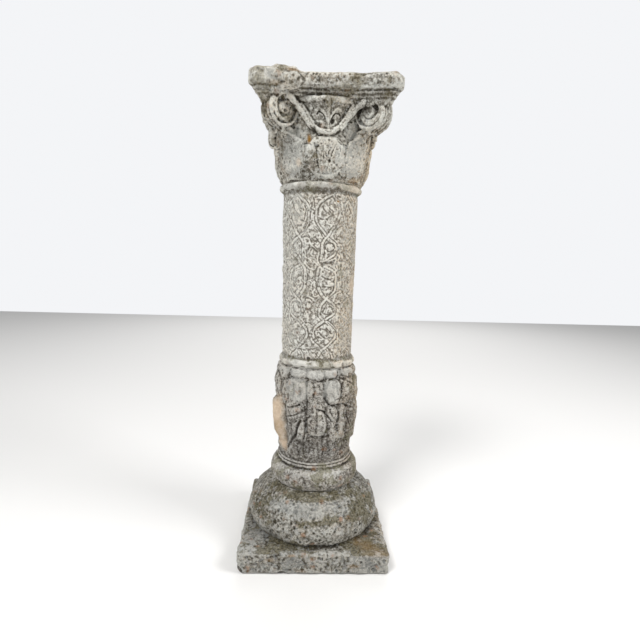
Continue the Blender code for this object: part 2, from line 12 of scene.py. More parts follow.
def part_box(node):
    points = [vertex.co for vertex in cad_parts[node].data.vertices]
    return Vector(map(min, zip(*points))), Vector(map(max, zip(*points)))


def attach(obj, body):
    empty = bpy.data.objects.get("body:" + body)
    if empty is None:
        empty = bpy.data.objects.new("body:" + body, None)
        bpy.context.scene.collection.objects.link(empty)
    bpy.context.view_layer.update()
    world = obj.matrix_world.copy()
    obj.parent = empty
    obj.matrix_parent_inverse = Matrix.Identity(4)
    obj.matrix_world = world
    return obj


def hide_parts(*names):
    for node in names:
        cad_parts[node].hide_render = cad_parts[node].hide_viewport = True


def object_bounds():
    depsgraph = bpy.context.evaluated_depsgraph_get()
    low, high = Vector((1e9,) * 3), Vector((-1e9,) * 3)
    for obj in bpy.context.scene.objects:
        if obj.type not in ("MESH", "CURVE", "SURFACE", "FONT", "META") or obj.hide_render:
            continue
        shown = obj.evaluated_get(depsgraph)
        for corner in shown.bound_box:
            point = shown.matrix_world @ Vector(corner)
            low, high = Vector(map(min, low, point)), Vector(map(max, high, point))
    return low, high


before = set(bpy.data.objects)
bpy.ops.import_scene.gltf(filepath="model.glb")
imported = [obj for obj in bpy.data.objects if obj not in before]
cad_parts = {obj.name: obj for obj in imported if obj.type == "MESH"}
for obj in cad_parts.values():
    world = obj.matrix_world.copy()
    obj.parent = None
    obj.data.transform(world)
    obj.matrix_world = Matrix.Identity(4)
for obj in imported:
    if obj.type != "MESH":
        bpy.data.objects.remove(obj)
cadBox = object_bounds()
baseLow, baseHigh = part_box("plinth_base")
drumLow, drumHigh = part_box("lower_drum")
shaftLow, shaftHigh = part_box("shaft")
capitalLow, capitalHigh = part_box("capital")
print("frame loaded", cadBox)


# Measuring and reading

def wrapped(angle, pitch=360.0):
    return (angle + pitch / 2) % pitch - pitch / 2


def smooth(low, high, value):
    share = np.clip((value - low) / (high - low), 0.0, 1.0)
    return share * share * (3 - 2 * share)


def between(riseStart, riseEnd, fallStart, fallEnd, value):
    # 1 within a stretch, 0 outside it, with soft ends
    return smooth(riseStart, riseEnd, value) * (1 - smooth(fallStart, fallEnd, value))


def peak(middle, width, value):
    # 1 at the middle, falling off softly to both sides
    return np.exp(-((value - middle) / width) ** 2)


def readCurve(points, value):
    # a soft curve through a few (place, size) pairs, which never swings past them
    place, size = np.array(points, dtype=float).T
    rise = np.diff(size) / np.diff(place)
    slope = np.zeros(len(place))
    slope[0], slope[-1] = rise[0], rise[-1]
    onward = rise[:-1] * rise[1:] > 0
    slope[1:-1][onward] = (2 * rise[:-1] * rise[1:])[onward] / (rise[:-1] + rise[1:])[onward]
    part = np.clip(np.searchsorted(place, value) - 1, 0, len(place) - 2)
    span = place[part + 1] - place[part]
    t = np.clip((value - place[part]) / span, 0.0, 1.0)
    lower = (1 + 2 * t) * (1 - t) ** 2 * size[part] + t * (1 - t) ** 2 * span * slope[part]
    upper = t * t * (3 - 2 * t) * size[part + 1] - t * t * (1 - t) * span * slope[part + 1]
    return lower + upper


def getPoints(mesh):
    points = np.empty(len(mesh.vertices) * 3)
    mesh.vertices.foreach_get("co", points)
    return points.reshape(-1, 3)


def setPoints(mesh, points):
    mesh.vertices.foreach_set("co", points.ravel())
    mesh.update()


def getNormals(mesh):
    normals = np.empty(len(mesh.vertices) * 3)
    mesh.vertex_normals.foreach_get("vector", normals)
    return normals.reshape(-1, 3)


def polar(points):
    angle = np.degrees(np.arctan2(points[:, 0], -points[:, 1]))
    return angle, points[:, 2].copy(), np.hypot(points[:, 0], points[:, 1])


def onColumn(angle, height, radius):
    turn = np.radians(angle)
    return np.stack((radius * np.sin(turn), -radius * np.cos(turn), height + 0 * turn), axis=1)


def arc(angle, radius):
    # an angle in degrees as a length along the skin
    return angle * math.radians(1.0) * radius


def clouds(points, size, seed=0.0):
    # soft random unevenness, about -1 to 1, with lumps of the given size
    places = (points / size + seed).tolist()
    return np.array([noise.noise(place) for place in places]) * 1.6


def layered(places, layers):
    # clouds over one another, each layer given as (rise, lump size, seed)
    return sum(rise * clouds(places, size, seed) for rise, size, seed in layers)


def ovalShare(angle, height, oval, pitch=360.0):
    # 1 on the rim of an oval given as (angle, height, half angle, half height), heights in millimetres
    middle, level, halfAngle, halfHeight = oval
    return np.hypot(wrapped(angle - middle, pitch) / halfAngle, (height * 1000 - level) / halfHeight)


# Shaping

def intoMesh(bm, mesh):
    bm.to_mesh(mesh)
    bm.free()
    return mesh


def closeSkin(bm):
    # open ends are filled, and every face looks outward
    bmesh.ops.holes_fill(bm, edges=[e for e in bm.edges if e.is_boundary], sides=0)
    bmesh.ops.recalc_face_normals(bm, faces=bm.faces)


def sealed(mesh):
    bm = bmesh.new()
    bm.from_mesh(mesh)
    closeSkin(bm)
    return intoMesh(bm, mesh)


def spunBlock(name, low, high, steps, rows):
    # an upright round block of even squares, one unit in radius, flat at both ends
    bm = bmesh.new()
    ends = [bm.verts.new((1.0, 0.0, high)), bm.verts.new((1.0, 0.0, low))]
    edge = bm.edges.new(ends)
    bmesh.ops.subdivide_edges(bm, edges=[edge], cuts=rows - 1)
    bmesh.ops.spin(
        bm, geom=bm.verts[:] + bm.edges[:], cent=(0, 0, 0), axis=(0, 0, 1),
        angle=math.tau, steps=steps, use_merge=True,
    )
    closeSkin(bm)
    return intoMesh(bm, bpy.data.meshes.new(name))


def addObject(name, mesh):
    piece = bpy.data.objects.new(name, mesh)
    bpy.context.scene.collection.objects.link(piece)
    return piece


def meshAsSeen(piece):
    # a new mesh with the piece's modifiers, or its curve, worked out
    graph = bpy.context.evaluated_depsgraph_get()
    graph.update()
    return bpy.data.meshes.new_from_object(piece.evaluated_get(graph))


def applied(piece):
    # the mesh that the piece's modifiers make takes the place of its own
    old = piece.data
    piece.data = meshAsSeen(piece)
    piece.data.name = old.name
    piece.modifiers.clear()
    bpy.data.meshes.remove(old)


def fuse(piece, grain):
    # overlapping forms become one skin of small squares
    skin = piece.modifiers.new("skin", "REMESH")
    skin.mode = "VOXEL"
    skin.voxel_size = grain
    applied(piece)


def trim(piece, triangles):
    count = sum(len(face.vertices) - 2 for face in piece.data.polygons)
    if count > triangles:
        less = piece.modifiers.new("trim", "DECIMATE")
        less.ratio = triangles / count
        applied(piece)


def joined(name, meshes):
    bm = bmesh.new()
    for mesh in meshes:
        bm.from_mesh(mesh)
        bpy.data.meshes.remove(mesh)
    return intoMesh(bm, bpy.data.meshes.new(name))


def softLine(line, steps=3):
    # a carved line with its corners rounded
    points = np.array(line, dtype=float)
    if len(points) < 3:
        return points
    place = np.arange(len(points))
    fine = np.linspace(0, len(points) - 1, (len(points) - 1) * steps + 1)
    pairs = [readCurve(np.stack((place, points[:, axis]), axis=1), fine) for axis in (0, 1)]
    return np.stack(pairs, axis=1)


def farFromLine(angle, height, line, radius, pitch, reach):
    # distance in metres of every place on the column from a carved line
    points = softLine(line)
    across = math.radians(1.0) * radius
    distance = np.full(len(angle), reach)
    middle = points[:, 0].mean()
    side = wrapped(angle - middle, pitch) * across
    xs, zs = (points[:, 0] - middle) * across, points[:, 1] / 1000
    near = (side > xs.min() - reach) & (side < xs.max() + reach)
    near &= (height > zs.min() - reach) & (height < zs.max() + reach)
    x, z = side[near], height[near]
    best = np.full(len(x), reach)
    for i in range(len(xs) - 1):
        dx, dz = xs[i + 1] - xs[i], zs[i + 1] - zs[i]
        t = np.clip(((x - xs[i]) * dx + (z - zs[i]) * dz) / max(1e-12, dx * dx + dz * dz), 0, 1)
        best = np.minimum(best, np.hypot(x - xs[i] - t * dx, z - zs[i] - t * dz))
    distance[near] = best
    return distance


def cutLines(angle, height, lines, radius, pitch):
    # depth cut by a dictionary of (half width, depth, line), both sizes in millimetres
    depth = np.zeros(len(angle))
    for halfWidth, deep, line in lines.values():
        width = halfWidth / 1000
        far = farFromLine(angle, height, line, radius, pitch, width * 1.3) / width
        depth = np.maximum(depth, deep / 1000 * (1 - smooth(0.0, 1.3, far)))
    return depth


def drillHoles(angle, height, holes, radius, pitch):
    depth = np.zeros(len(angle))
    for middle, level, halfWidth, halfHeight, deep in holes:
        side = arc(wrapped(angle - middle, pitch), radius) * 1000
        far = np.hypot(side / halfWidth, (height * 1000 - level) / halfHeight)
        depth = np.maximum(depth, deep / 1000 * (1 - smooth(0.35, 1.1, far)))
    return depth


def carvedDepth(angle, height, lines, holes, radius, pitch):
    cuts = cutLines(angle, height, lines, radius, pitch)
    return np.maximum(cuts, drillHoles(angle, height, holes, radius, pitch))


def pitted(mesh, low, high, count, smallest, largest, depth, seed):
    # small round holes where sand and shell have fallen out of the skin
    dice = np.random.default_rng(seed)
    points, normals = getPoints(mesh), getNormals(mesh)
    tree = kdtree.KDTree(len(points))
    for i, point in enumerate(points.tolist()):
        tree.insert(point, i)
    tree.balance()
    moves = np.zeros(len(points))
    for index in dice.integers(0, len(points), count):
        size = smallest + (largest - smallest) * dice.random() ** 3
        deep = depth * (0.4 + 0.6 * dice.random()) * (size / largest) ** 0.5
        for _, i, far in tree.find_range(points[index].tolist(), size):
            moves[i] = max(moves[i], deep * (1 - (far / size) ** 2))
    free = (points[:, 2] > low) & (points[:, 2] < high)
    points[free] -= (normals * moves[:, None])[free]
    setPoints(mesh, points)


def pressed(points, balls):
    # a blow that chips an edge: points inside each ball go out to its skin
    for centre, radius in balls:
        away = points - np.array(centre)
        far = np.linalg.norm(away, axis=1)
        hit = far < radius
        points[hit] = np.array(centre) + away[hit] / far[hit, None] * radius
    return points


def blurred(mesh, values, rounds):
    # each point takes the mean of its neighbours, over and over
    edges = np.empty(len(mesh.edges) * 2, dtype=np.int64)
    mesh.edges.foreach_get("vertices", edges)
    first, second = edges.reshape(-1, 2).T
    count = np.bincount(edges, minlength=len(values)).clip(1)[:, None]
    for _ in range(rounds):
        total = np.stack([
            np.bincount(first, values[second, axis], len(values))
            + np.bincount(second, values[first, axis], len(values))
            for axis in range(values.shape[1])
        ], axis=1)
        values = 0.5 * values + 0.5 * total / count
    return values


def offEnds(height, low, high):
    # true everywhere but on the flat ends, which stay as they are
    return (height > low.z + 0.0004) & (height < high.z - 0.0004)


def addMask(mesh, name, values):
    layer = mesh.attributes.new(name, "FLOAT", "POINT")
    layer.data.foreach_set("value", values.astype(np.float32))


def addMasks(mesh, most, **masks):
    # the masks that a stone finish reads, none below 0, nor above 1 or what most says
    for name, values in masks.items():
        addMask(mesh, name, np.clip(values, 0, most.get(name, 1.0)))


def markHollows(mesh):
    # how far each place lies below its surroundings, in millimetres, near and wide
    points, normals = getPoints(mesh), getNormals(mesh)
    near = blurred(mesh, points, 5)
    wide = blurred(mesh, near, 60)
    for name, around in (("crease", near), ("hollow", wide)):
        addMask(mesh, name, ((around - points) * normals).sum(axis=1) * 1000)


def smallLeaves(across, height, width, tall, seed):
    # crowded little leaves in millimetres: rounded cells of uneven height, with grooves between
    dice = np.random.default_rng(seed)
    first, second = np.full(len(across), 99.0), np.full(len(across), 99.0)
    level = np.zeros(len(across))
    for row in range(int((height.max() - height.min()) / tall) + 3):
        for column in range(int((across.max() - across.min()) / width) + 3):
            x = across.min() + (column - 1 + 0.5 * (row % 2) + dice.uniform(-0.3, 0.3)) * width
            z = height.min() + (row - 1 + dice.uniform(-0.3, 0.3)) * tall
            top = dice.uniform(0.45, 1.0)
            far = np.hypot(across - x, (height - z) * width / tall)
            level = np.where(far < first, top, level)
            second = np.minimum(second, np.maximum(first, far))
            first = np.minimum(first, far)
    return level * (1 - np.exp(-(second - first) / 1.7)) * (1 - 0.5 * (first / width) ** 2)


def surveyed(mesh, size):
    # once the shape is done: its hollows marked, where each point lies, and clouds for the masks
    markHollows(mesh)
    points = getPoints(mesh)
    angle, height, _ = polar(points)
    return points, angle, height, clouds(points, size, 6.0)


def patch(angle, height, spots):
    # a mask from ovals of (angle, height mm, half width in degrees, half height mm, strength)
    mask = np.zeros(len(angle))
    for *oval, strength in spots:
        far = ovalShare(angle, height, oval)
        mask = np.maximum(mask, strength * (1 - smooth(0.4, 1.4, far)))
    return mask


# Stone finishes

def setInputs(tree, node, inputs):
    # each input, by name or number, takes a value or the output of another node
    for key, value in inputs.items():
        if isinstance(value, bpy.types.NodeSocket):
            tree.links.new(value, node.inputs[key])
        else:
            node.inputs[key].default_value = value


def makeNode(tree, kind, inputs, **settings):
    # nodes stand in rows of twelve, in the order they are made
    count = len(tree.nodes)
    node = tree.nodes.new(kind)
    node.location = (count % 12 * 200, -320 * (count // 12))
    for key, value in settings.items():
        setattr(node, key, value)
    setInputs(tree, node, inputs)
    return node


def srgb(colour):
    # red, green and blue from 0 to 255, as the linear colour that a node takes
    shares = [c / 255 for c in colour]
    return (*(c / 12.92 if c < 0.04 else ((c + 0.055) / 1.055) ** 2.4 for c in shares), 1.0)


def stoneFinish(name, look):
    # layers, from below: the tone of the cast with painted shade in grooves and hollows and a painted
    # highlight on edges, dirt and painted shade in grooves and hollows, pale crust, growth, rust, the bare
    # and ochre spots that the masks place, then open pores painted dark as shade and dirt, and pale chips
    material = bpy.data.materials.new(name)
    material.use_nodes = True
    tree = material.node_tree
    coords = makeNode(tree, "ShaderNodeTexCoord", {}).outputs["Object"]

    def moved(source, shift):
        inputs = {"Vector": source, "Location": shift}
        return makeNode(tree, "ShaderNodeMapping", inputs).outputs["Vector"]

    def noiseOf(scale, detail, rough, shift=(0, 0, 0)):
        inputs = {"Vector": moved(coords, shift), "Scale": scale, "Detail": detail, "Roughness": rough}
        return makeNode(tree, "ShaderNodeTexNoise", inputs).outputs["Fac"]

    def cellsOf(source, scale):
        inputs = {"Vector": source, "Scale": scale, "Randomness": 1.0}
        return makeNode(tree, "ShaderNodeTexVoronoi", inputs).outputs

    def mask(attribute):
        return makeNode(tree, "ShaderNodeAttribute", {}, attribute_name=attribute).outputs["Fac"]

    def ranged(value, low, high, start=0.0, end=1.0):
        inputs = {"Value": value, "From Min": low, "From Max": high, "To Min": start, "To Max": end}
        node = makeNode(tree, "ShaderNodeMapRange", inputs, interpolation_type="SMOOTHSTEP")
        return node.outputs["Result"]

    def maths(operation, result, *others):
        for other in others:
            node = makeNode(tree, "ShaderNodeMath", {0: result, 1: other}, operation=operation)
            result = node.outputs["Value"]
        return result

    def times(value, *shares):
        return maths("MULTIPLY", value, *shares)

    def mixed(share, under, over, blend="MIX"):
        under, over = (srgb(c) if isinstance(c, tuple) else c for c in (under, over))
        inputs = {"Factor": share, 6: under, 7: over}
        return makeNode(tree, "ShaderNodeMix", inputs, data_type="RGBA", blend_type=blend).outputs[2]

    broad = noiseOf(look["broadScale"], 5.0, 0.6)
    grain = noiseOf(look["grainScale"], 7.0, 0.78, (3.1, 1.7, 0.4))
    grit = noiseOf(look["gritScale"], 3.0, 0.6, (7.3, 2.2, 5.1))
    mottle = noiseOf(look["mottleScale"], 4.0, 0.6, (2.9, 6.4, 8.8))
    tone = maths(
        "ADD", times(broad, look["broadShare"]), times(grain, look["grainShare"]),
        times(mottle, look["mottleShare"]), times(maths("SUBTRACT", grit, 0.5), look["gritShare"]),
    )
    # painted shade and highlight: grooves and wide hollows run darker, edges and bumps paler, by how far each
    # place lies below its surroundings
    crease, hollow = mask("crease"), mask("hollow")
    cavity = ranged(crease, -look["cavity"], look["cavity"], look["edgePale"], -look["grooveDark"])
    deep = look["hollowHigh"]
    wide = ranged(hollow, -deep, deep, look["hollowDark"] * 0.7, -look["hollowDark"])
    tone = maths("ADD", tone, maths("ADD", cavity, wide))
    ramp = makeNode(tree, "ShaderNodeValToRGB", {"Fac": tone})
    stops = ramp.color_ramp.elements
    stops[0].position, stops[0].color = look["toneLow"], srgb(look["dark"])
    stops[1].position, stops[1].color = look["toneHigh"], srgb(look["light"])
    stops.new((look["toneLow"] + look["toneHigh"]) / 2).color = srgb(look["middle"])
    colour = ramp.outputs["Color"]

    warm = times(mask("warm"), ranged(broad, 0.25, 0.62, 0.55, 1.0))
    colour = mixed(warm, colour, look["warm"], "MULTIPLY")

    # dirt and painted shade: darkens creases, wide hollows and the places that its mask marks with painted
    # shade and stains; dirt also lies in odd blots
    creaseFull = ranged(crease, look["creaseLow"], look["creaseHigh"])
    hollowFull = ranged(hollow, look["hollowLow"], look["hollowHigh"])
    blots = ranged(noiseOf(look["blotScale"], 6.0, 0.72, (1.9, 8.8, 2.7)), *look["blotRange"])
    # the mask of painted shade, with some real stains, that the pieces place
    soot = times(mask("soot"), ranged(mottle, 0.34, 0.56, 1.0, 0.62))
    dirtAndShade = maths(
        "MAXIMUM", creaseFull, times(hollowFull, look["hollowDirtAndShade"]), times(blots, look["blots"]), soot
    )
    dirtAndShade = times(dirtAndShade, ranged(grain, 0.25, 0.55, 0.6, 1.0), look["dirtAndShadeShare"])
    colour = mixed(dirtAndShade, colour, look["dirtAndShade"])

    # pale crust on the parts that stand proud, and where the mask wants it
    proud = ranged(hollow, -look["proud"], -0.1, 1.0, 0.0)
    crust = noiseOf(look["crustScale"], 8.0, 0.7, (4.4, 0.3, 6.1))
    crust = maths("ADD", crust, times(proud, look["proudCrust"]), times(mask("crusted"), look["maskCrust"]))
    crust = times(ranged(crust, *look["crustRange"]), look["crust"])
    colour = mixed(crust, colour, look["pale"])

    # growth in sheltered and level places
    facing = makeNode(tree, "ShaderNodeNewGeometry", {}).outputs["Normal"]
    upward = makeNode(tree, "ShaderNodeSeparateXYZ", {"Vector": facing}).outputs["Z"]
    moss = maths(
        "ADD", noiseOf(look["mossScale"], 8.0, 0.7, (9.5, 5.5, 1.1)),
        times(ranged(upward, 0.1, 0.95), look["levelMoss"]), times(mask("moss"), look["maskMoss"]),
        times(hollowFull, look["hollowMoss"]),
    )
    moss = times(ranged(moss, *look["mossRange"]), look["moss"])
    mossTone = mixed(ranged(mottle, 0.40, 0.60), look["mossDark"], look["mossLight"])
    colour = mixed(moss, colour, mossTone)

    # specks of rust, in one cell out of six
    cells = cellsOf(coords, look["rustScale"])
    chosen = makeNode(tree, "ShaderNodeSeparateColor", {"Color": cells["Color"]}).outputs[0]
    speck = ranged(cells["Distance"], 0.16, 0.42, 1.0, 0.0)
    rust = times(speck, ranged(chosen, 0.80, 0.84), ranged(grain, 0.42, 0.56), look["rust"])
    colour = mixed(rust, colour, look["rustColour"])

    # bare broken stone and rust-coloured lichen where the masks say
    colour = mixed(mask("bare"), colour, mixed(grain, look["bareDark"], look["bareLight"]))
    colour = mixed(mask("ochre"), colour, mixed(grit, look["ochreDark"], look["ochreLight"]))

    # open pores, painted dark as the shade and dirt in them, and pale chips, thicker in some parts than in
    # others: their places are shaken a little, so that they come out ragged
    shake = makeNode(tree, "ShaderNodeTexNoise", {"Vector": coords, "Scale": 420.0, "Detail": 2.0})
    inputs = {0: shake.outputs["Color"], 1: (look["raggedness"],) * 3, 2: coords}
    ragged = makeNode(tree, "ShaderNodeVectorMath", inputs, operation="MULTIPLY_ADD").outputs["Vector"]
    some = noiseOf(24.0, 5.0, 0.65, (6.6, 3.3, 9.9))
    pore = cellsOf(moved(ragged, (2.0, 5.0, 1.0)), look["poreScale"])["Distance"]
    pore = maths("LESS_THAN", pore, ranged(some, 0.42, 0.68, 0.05, look["poreSize"]))
    colour = mixed(times(pore, look["poreShare"]), colour, look["pore"])
    chip = cellsOf(moved(ragged, (8.0, 1.0, 4.0)), look["chipScale"])["Distance"]
    chip = maths("LESS_THAN", chip, ranged(some, 0.35, 0.62, look["chipSize"], 0.04))
    colour = mixed(times(chip, look["chipShare"]), colour, look["pale"])

    relief = maths("ADD", grain, times(grit, look["gritRelief"]))
    relief = maths("SUBTRACT", relief, times(pore, look["poreRelief"]))
    inputs = {"Height": relief, "Strength": look["bump"], "Distance": look["bumpDepth"]}
    setInputs(tree, tree.nodes["Principled BSDF"], {
        "Base Color": colour,
        "Roughness": ranged(grain, 0.3, 0.7, *look["roughRange"]),
        "Specular IOR Level": look["shine"],
        "Normal": makeNode(tree, "ShaderNodeBump", inputs).outputs["Normal"],
    })
    return material


stoneLook = {
    # the layers of noise: how fine each one is, and its share in the tone
    "broadScale": 16.0, "grainScale": 170.0, "mottleScale": 340.0, "gritScale": 650.0,
    "broadShare": 0.25, "grainShare": 0.40, "mottleShare": 0.35, "gritShare": 0.40,
    "toneLow": 0.40, "toneHigh": 0.60,
    # colours, as red, green and blue up to 255; pore is painted shade and dirt in open pores; each block adds
    # its dark, middle, light, and the colour of its dirt and painted shade
    "warm": (236, 216, 190), "pale": (226, 227, 221), "pore": (58, 54, 47),
    "mossDark": (84, 80, 58), "mossLight": (134, 131, 104), "rustColour": (150, 104, 66),
    "bareDark": (178, 146, 112), "bareLight": (248, 232, 210),
    "ochreDark": (112, 78, 28), "ochreLight": (176, 132, 58),
    # grooves and hollows, for the painted shade and highlight and the dirt: depths in millimetres, and how
    # much they darken or pale
    "cavity": 0.30, "edgePale": 0.05, "grooveDark": 0.058, "hollowDark": 0.045,
    "creaseLow": 0.10, "creaseHigh": 0.60, "hollowLow": 0.25, "hollowHigh": 2.4, "hollowDirtAndShade": 0.8,
    "dirtAndShadeShare": 0.9, "blots": 0.3, "blotScale": 95.0, "blotRange": (0.54, 0.66),
    "crust": 0.45, "crustScale": 190.0, "crustRange": (0.58, 0.66),
    "proud": 2.6, "proudCrust": 0.09, "maskCrust": 0.16,
    "moss": 0.6, "mossScale": 34.0, "mossRange": (0.60, 0.67),
    "levelMoss": 0.02, "maskMoss": 0.15, "hollowMoss": 0.05,
    "rust": 0.35, "rustScale": 55.0, "raggedness": 0.008,
    "poreScale": 330.0, "poreSize": 0.30, "poreShare": 0.6,
    "chipScale": 260.0, "chipSize": 0.22, "chipShare": 0.4,
    "bump": 0.55, "bumpDepth": 0.0022, "gritRelief": 0.55, "poreRelief": 0.5,
    "roughRange": (0.84, 0.97), "shine": 0.25,
}


# Shaft: two strands to each quarter, swinging apart and crossing, with leaves cut between them

shaft = {
    "steps": (372, 262),  # squares round the block and up it
    "wall": 0.0694,
    "carved": (0.417, 0.422, 0.713, 0.7185),  # heights where the carving sets in and dies away
    "onRing": (0.0698, 0.0745),  # from the wall's radius to the rings'
    "wornRight": (28, 40, 80, 105), "wornRightShare": 0.62,
    "wornLeft": (28, 40, 60, 80), "wornLeftShare": 0.25,
    "ringProfile": [
        (0.4010, 0.0722), (0.4025, 0.0752), (0.4055, 0.0768), (0.4095, 0.0768), (0.4130, 0.0752),
        (0.4155, 0.0718), (0.4170, 0.0700), (0.4190, 0.0694), (0.7170, 0.0694), (0.7195, 0.0698),
        (0.7215, 0.0722), (0.7240, 0.0758), (0.7270, 0.0770), (0.7300, 0.0764), (0.7320, 0.0744),
        (0.7330, 0.0720),
    ],
    "mirror": -12.5,  # each quarter is mirrored about this angle
    "mirrorFree": 7,  # leaves as near to it as this stand upright
    "bandHalf": 2.6, "bandRise": 1.9, "fillRise": 1.5, "curlRise": 1.6, "curlSize": 0.0115, "sway": 1.5,
    "leafSize": (8.2, 9.6), "leafSeed": 5, "leafSway": 2.4, "leafShare": 0.6, "leafLean": 0.55,
    "wear": [(0.0006, 0.030, 0), (0.00035, 0.008, 5), (0.00018, 0.003, 9)],
    "pits": {"count": 1500, "smallest": 0.0011, "largest": 0.0034, "depth": 0.0013, "seed": 11},
    "maskMost": {"moss": 1.3},  # the other masks stop at 1
    "bareSpots": [(66, 556, 12, 18, 0.5), (72, 470, 10, 14, 0.35)],
    "ochreSpots": [(25, 703, 2.2, 2.0, 0.8)],
    "firstStrand": [
        (32, 720), (30.5, 716), (22.5, 711), (14.5, 704), (8, 694), (5.5, 682), (6, 670), (9.5, 660),
        (16.5, 650), (22.5, 643), (29.5, 636), (35.5, 629), (38, 620), (34.5, 612), (26.5, 606.5),
        (18.5, 600), (11.5, 592), (8.5, 583), (8.5, 571), (9.5, 558), (13, 547), (19, 538),
        (24.5, 532), (32, 527), (38, 518), (38, 508), (34, 501.5), (28.5, 497.5), (20.5, 492),
        (12.5, 484.5), (7, 476), (5.5, 465), (8.5, 456), (14.5, 448), (22.5, 442), (30, 435),
        (36, 426), (38, 416),
    ],
    "secondStrand": [
        (26, 720), (28.5, 713), (34.5, 706), (39.5, 698), (41.5, 686), (39.5, 674), (32.5, 661),
        (24.5, 648), (18.5, 639), (15, 630), (14.5, 620), (14.5, 611), (13.5, 603), (15, 597),
        (20.5, 592), (28.5, 587), (35.5, 580), (38.5, 571), (38, 558), (35, 546), (29, 539),
        (24.5, 534), (18.5, 527), (14.5, 519), (13.5, 509), (15, 500), (22, 493), (28, 489),
        (37, 478), (41.3, 470.6), (40.5, 462), (34, 452), (26, 444), (20.5, 438), (14, 430),
        (10, 418),
    ],
    "crossings": [713, 643, 598, 534, 493, 443],
}

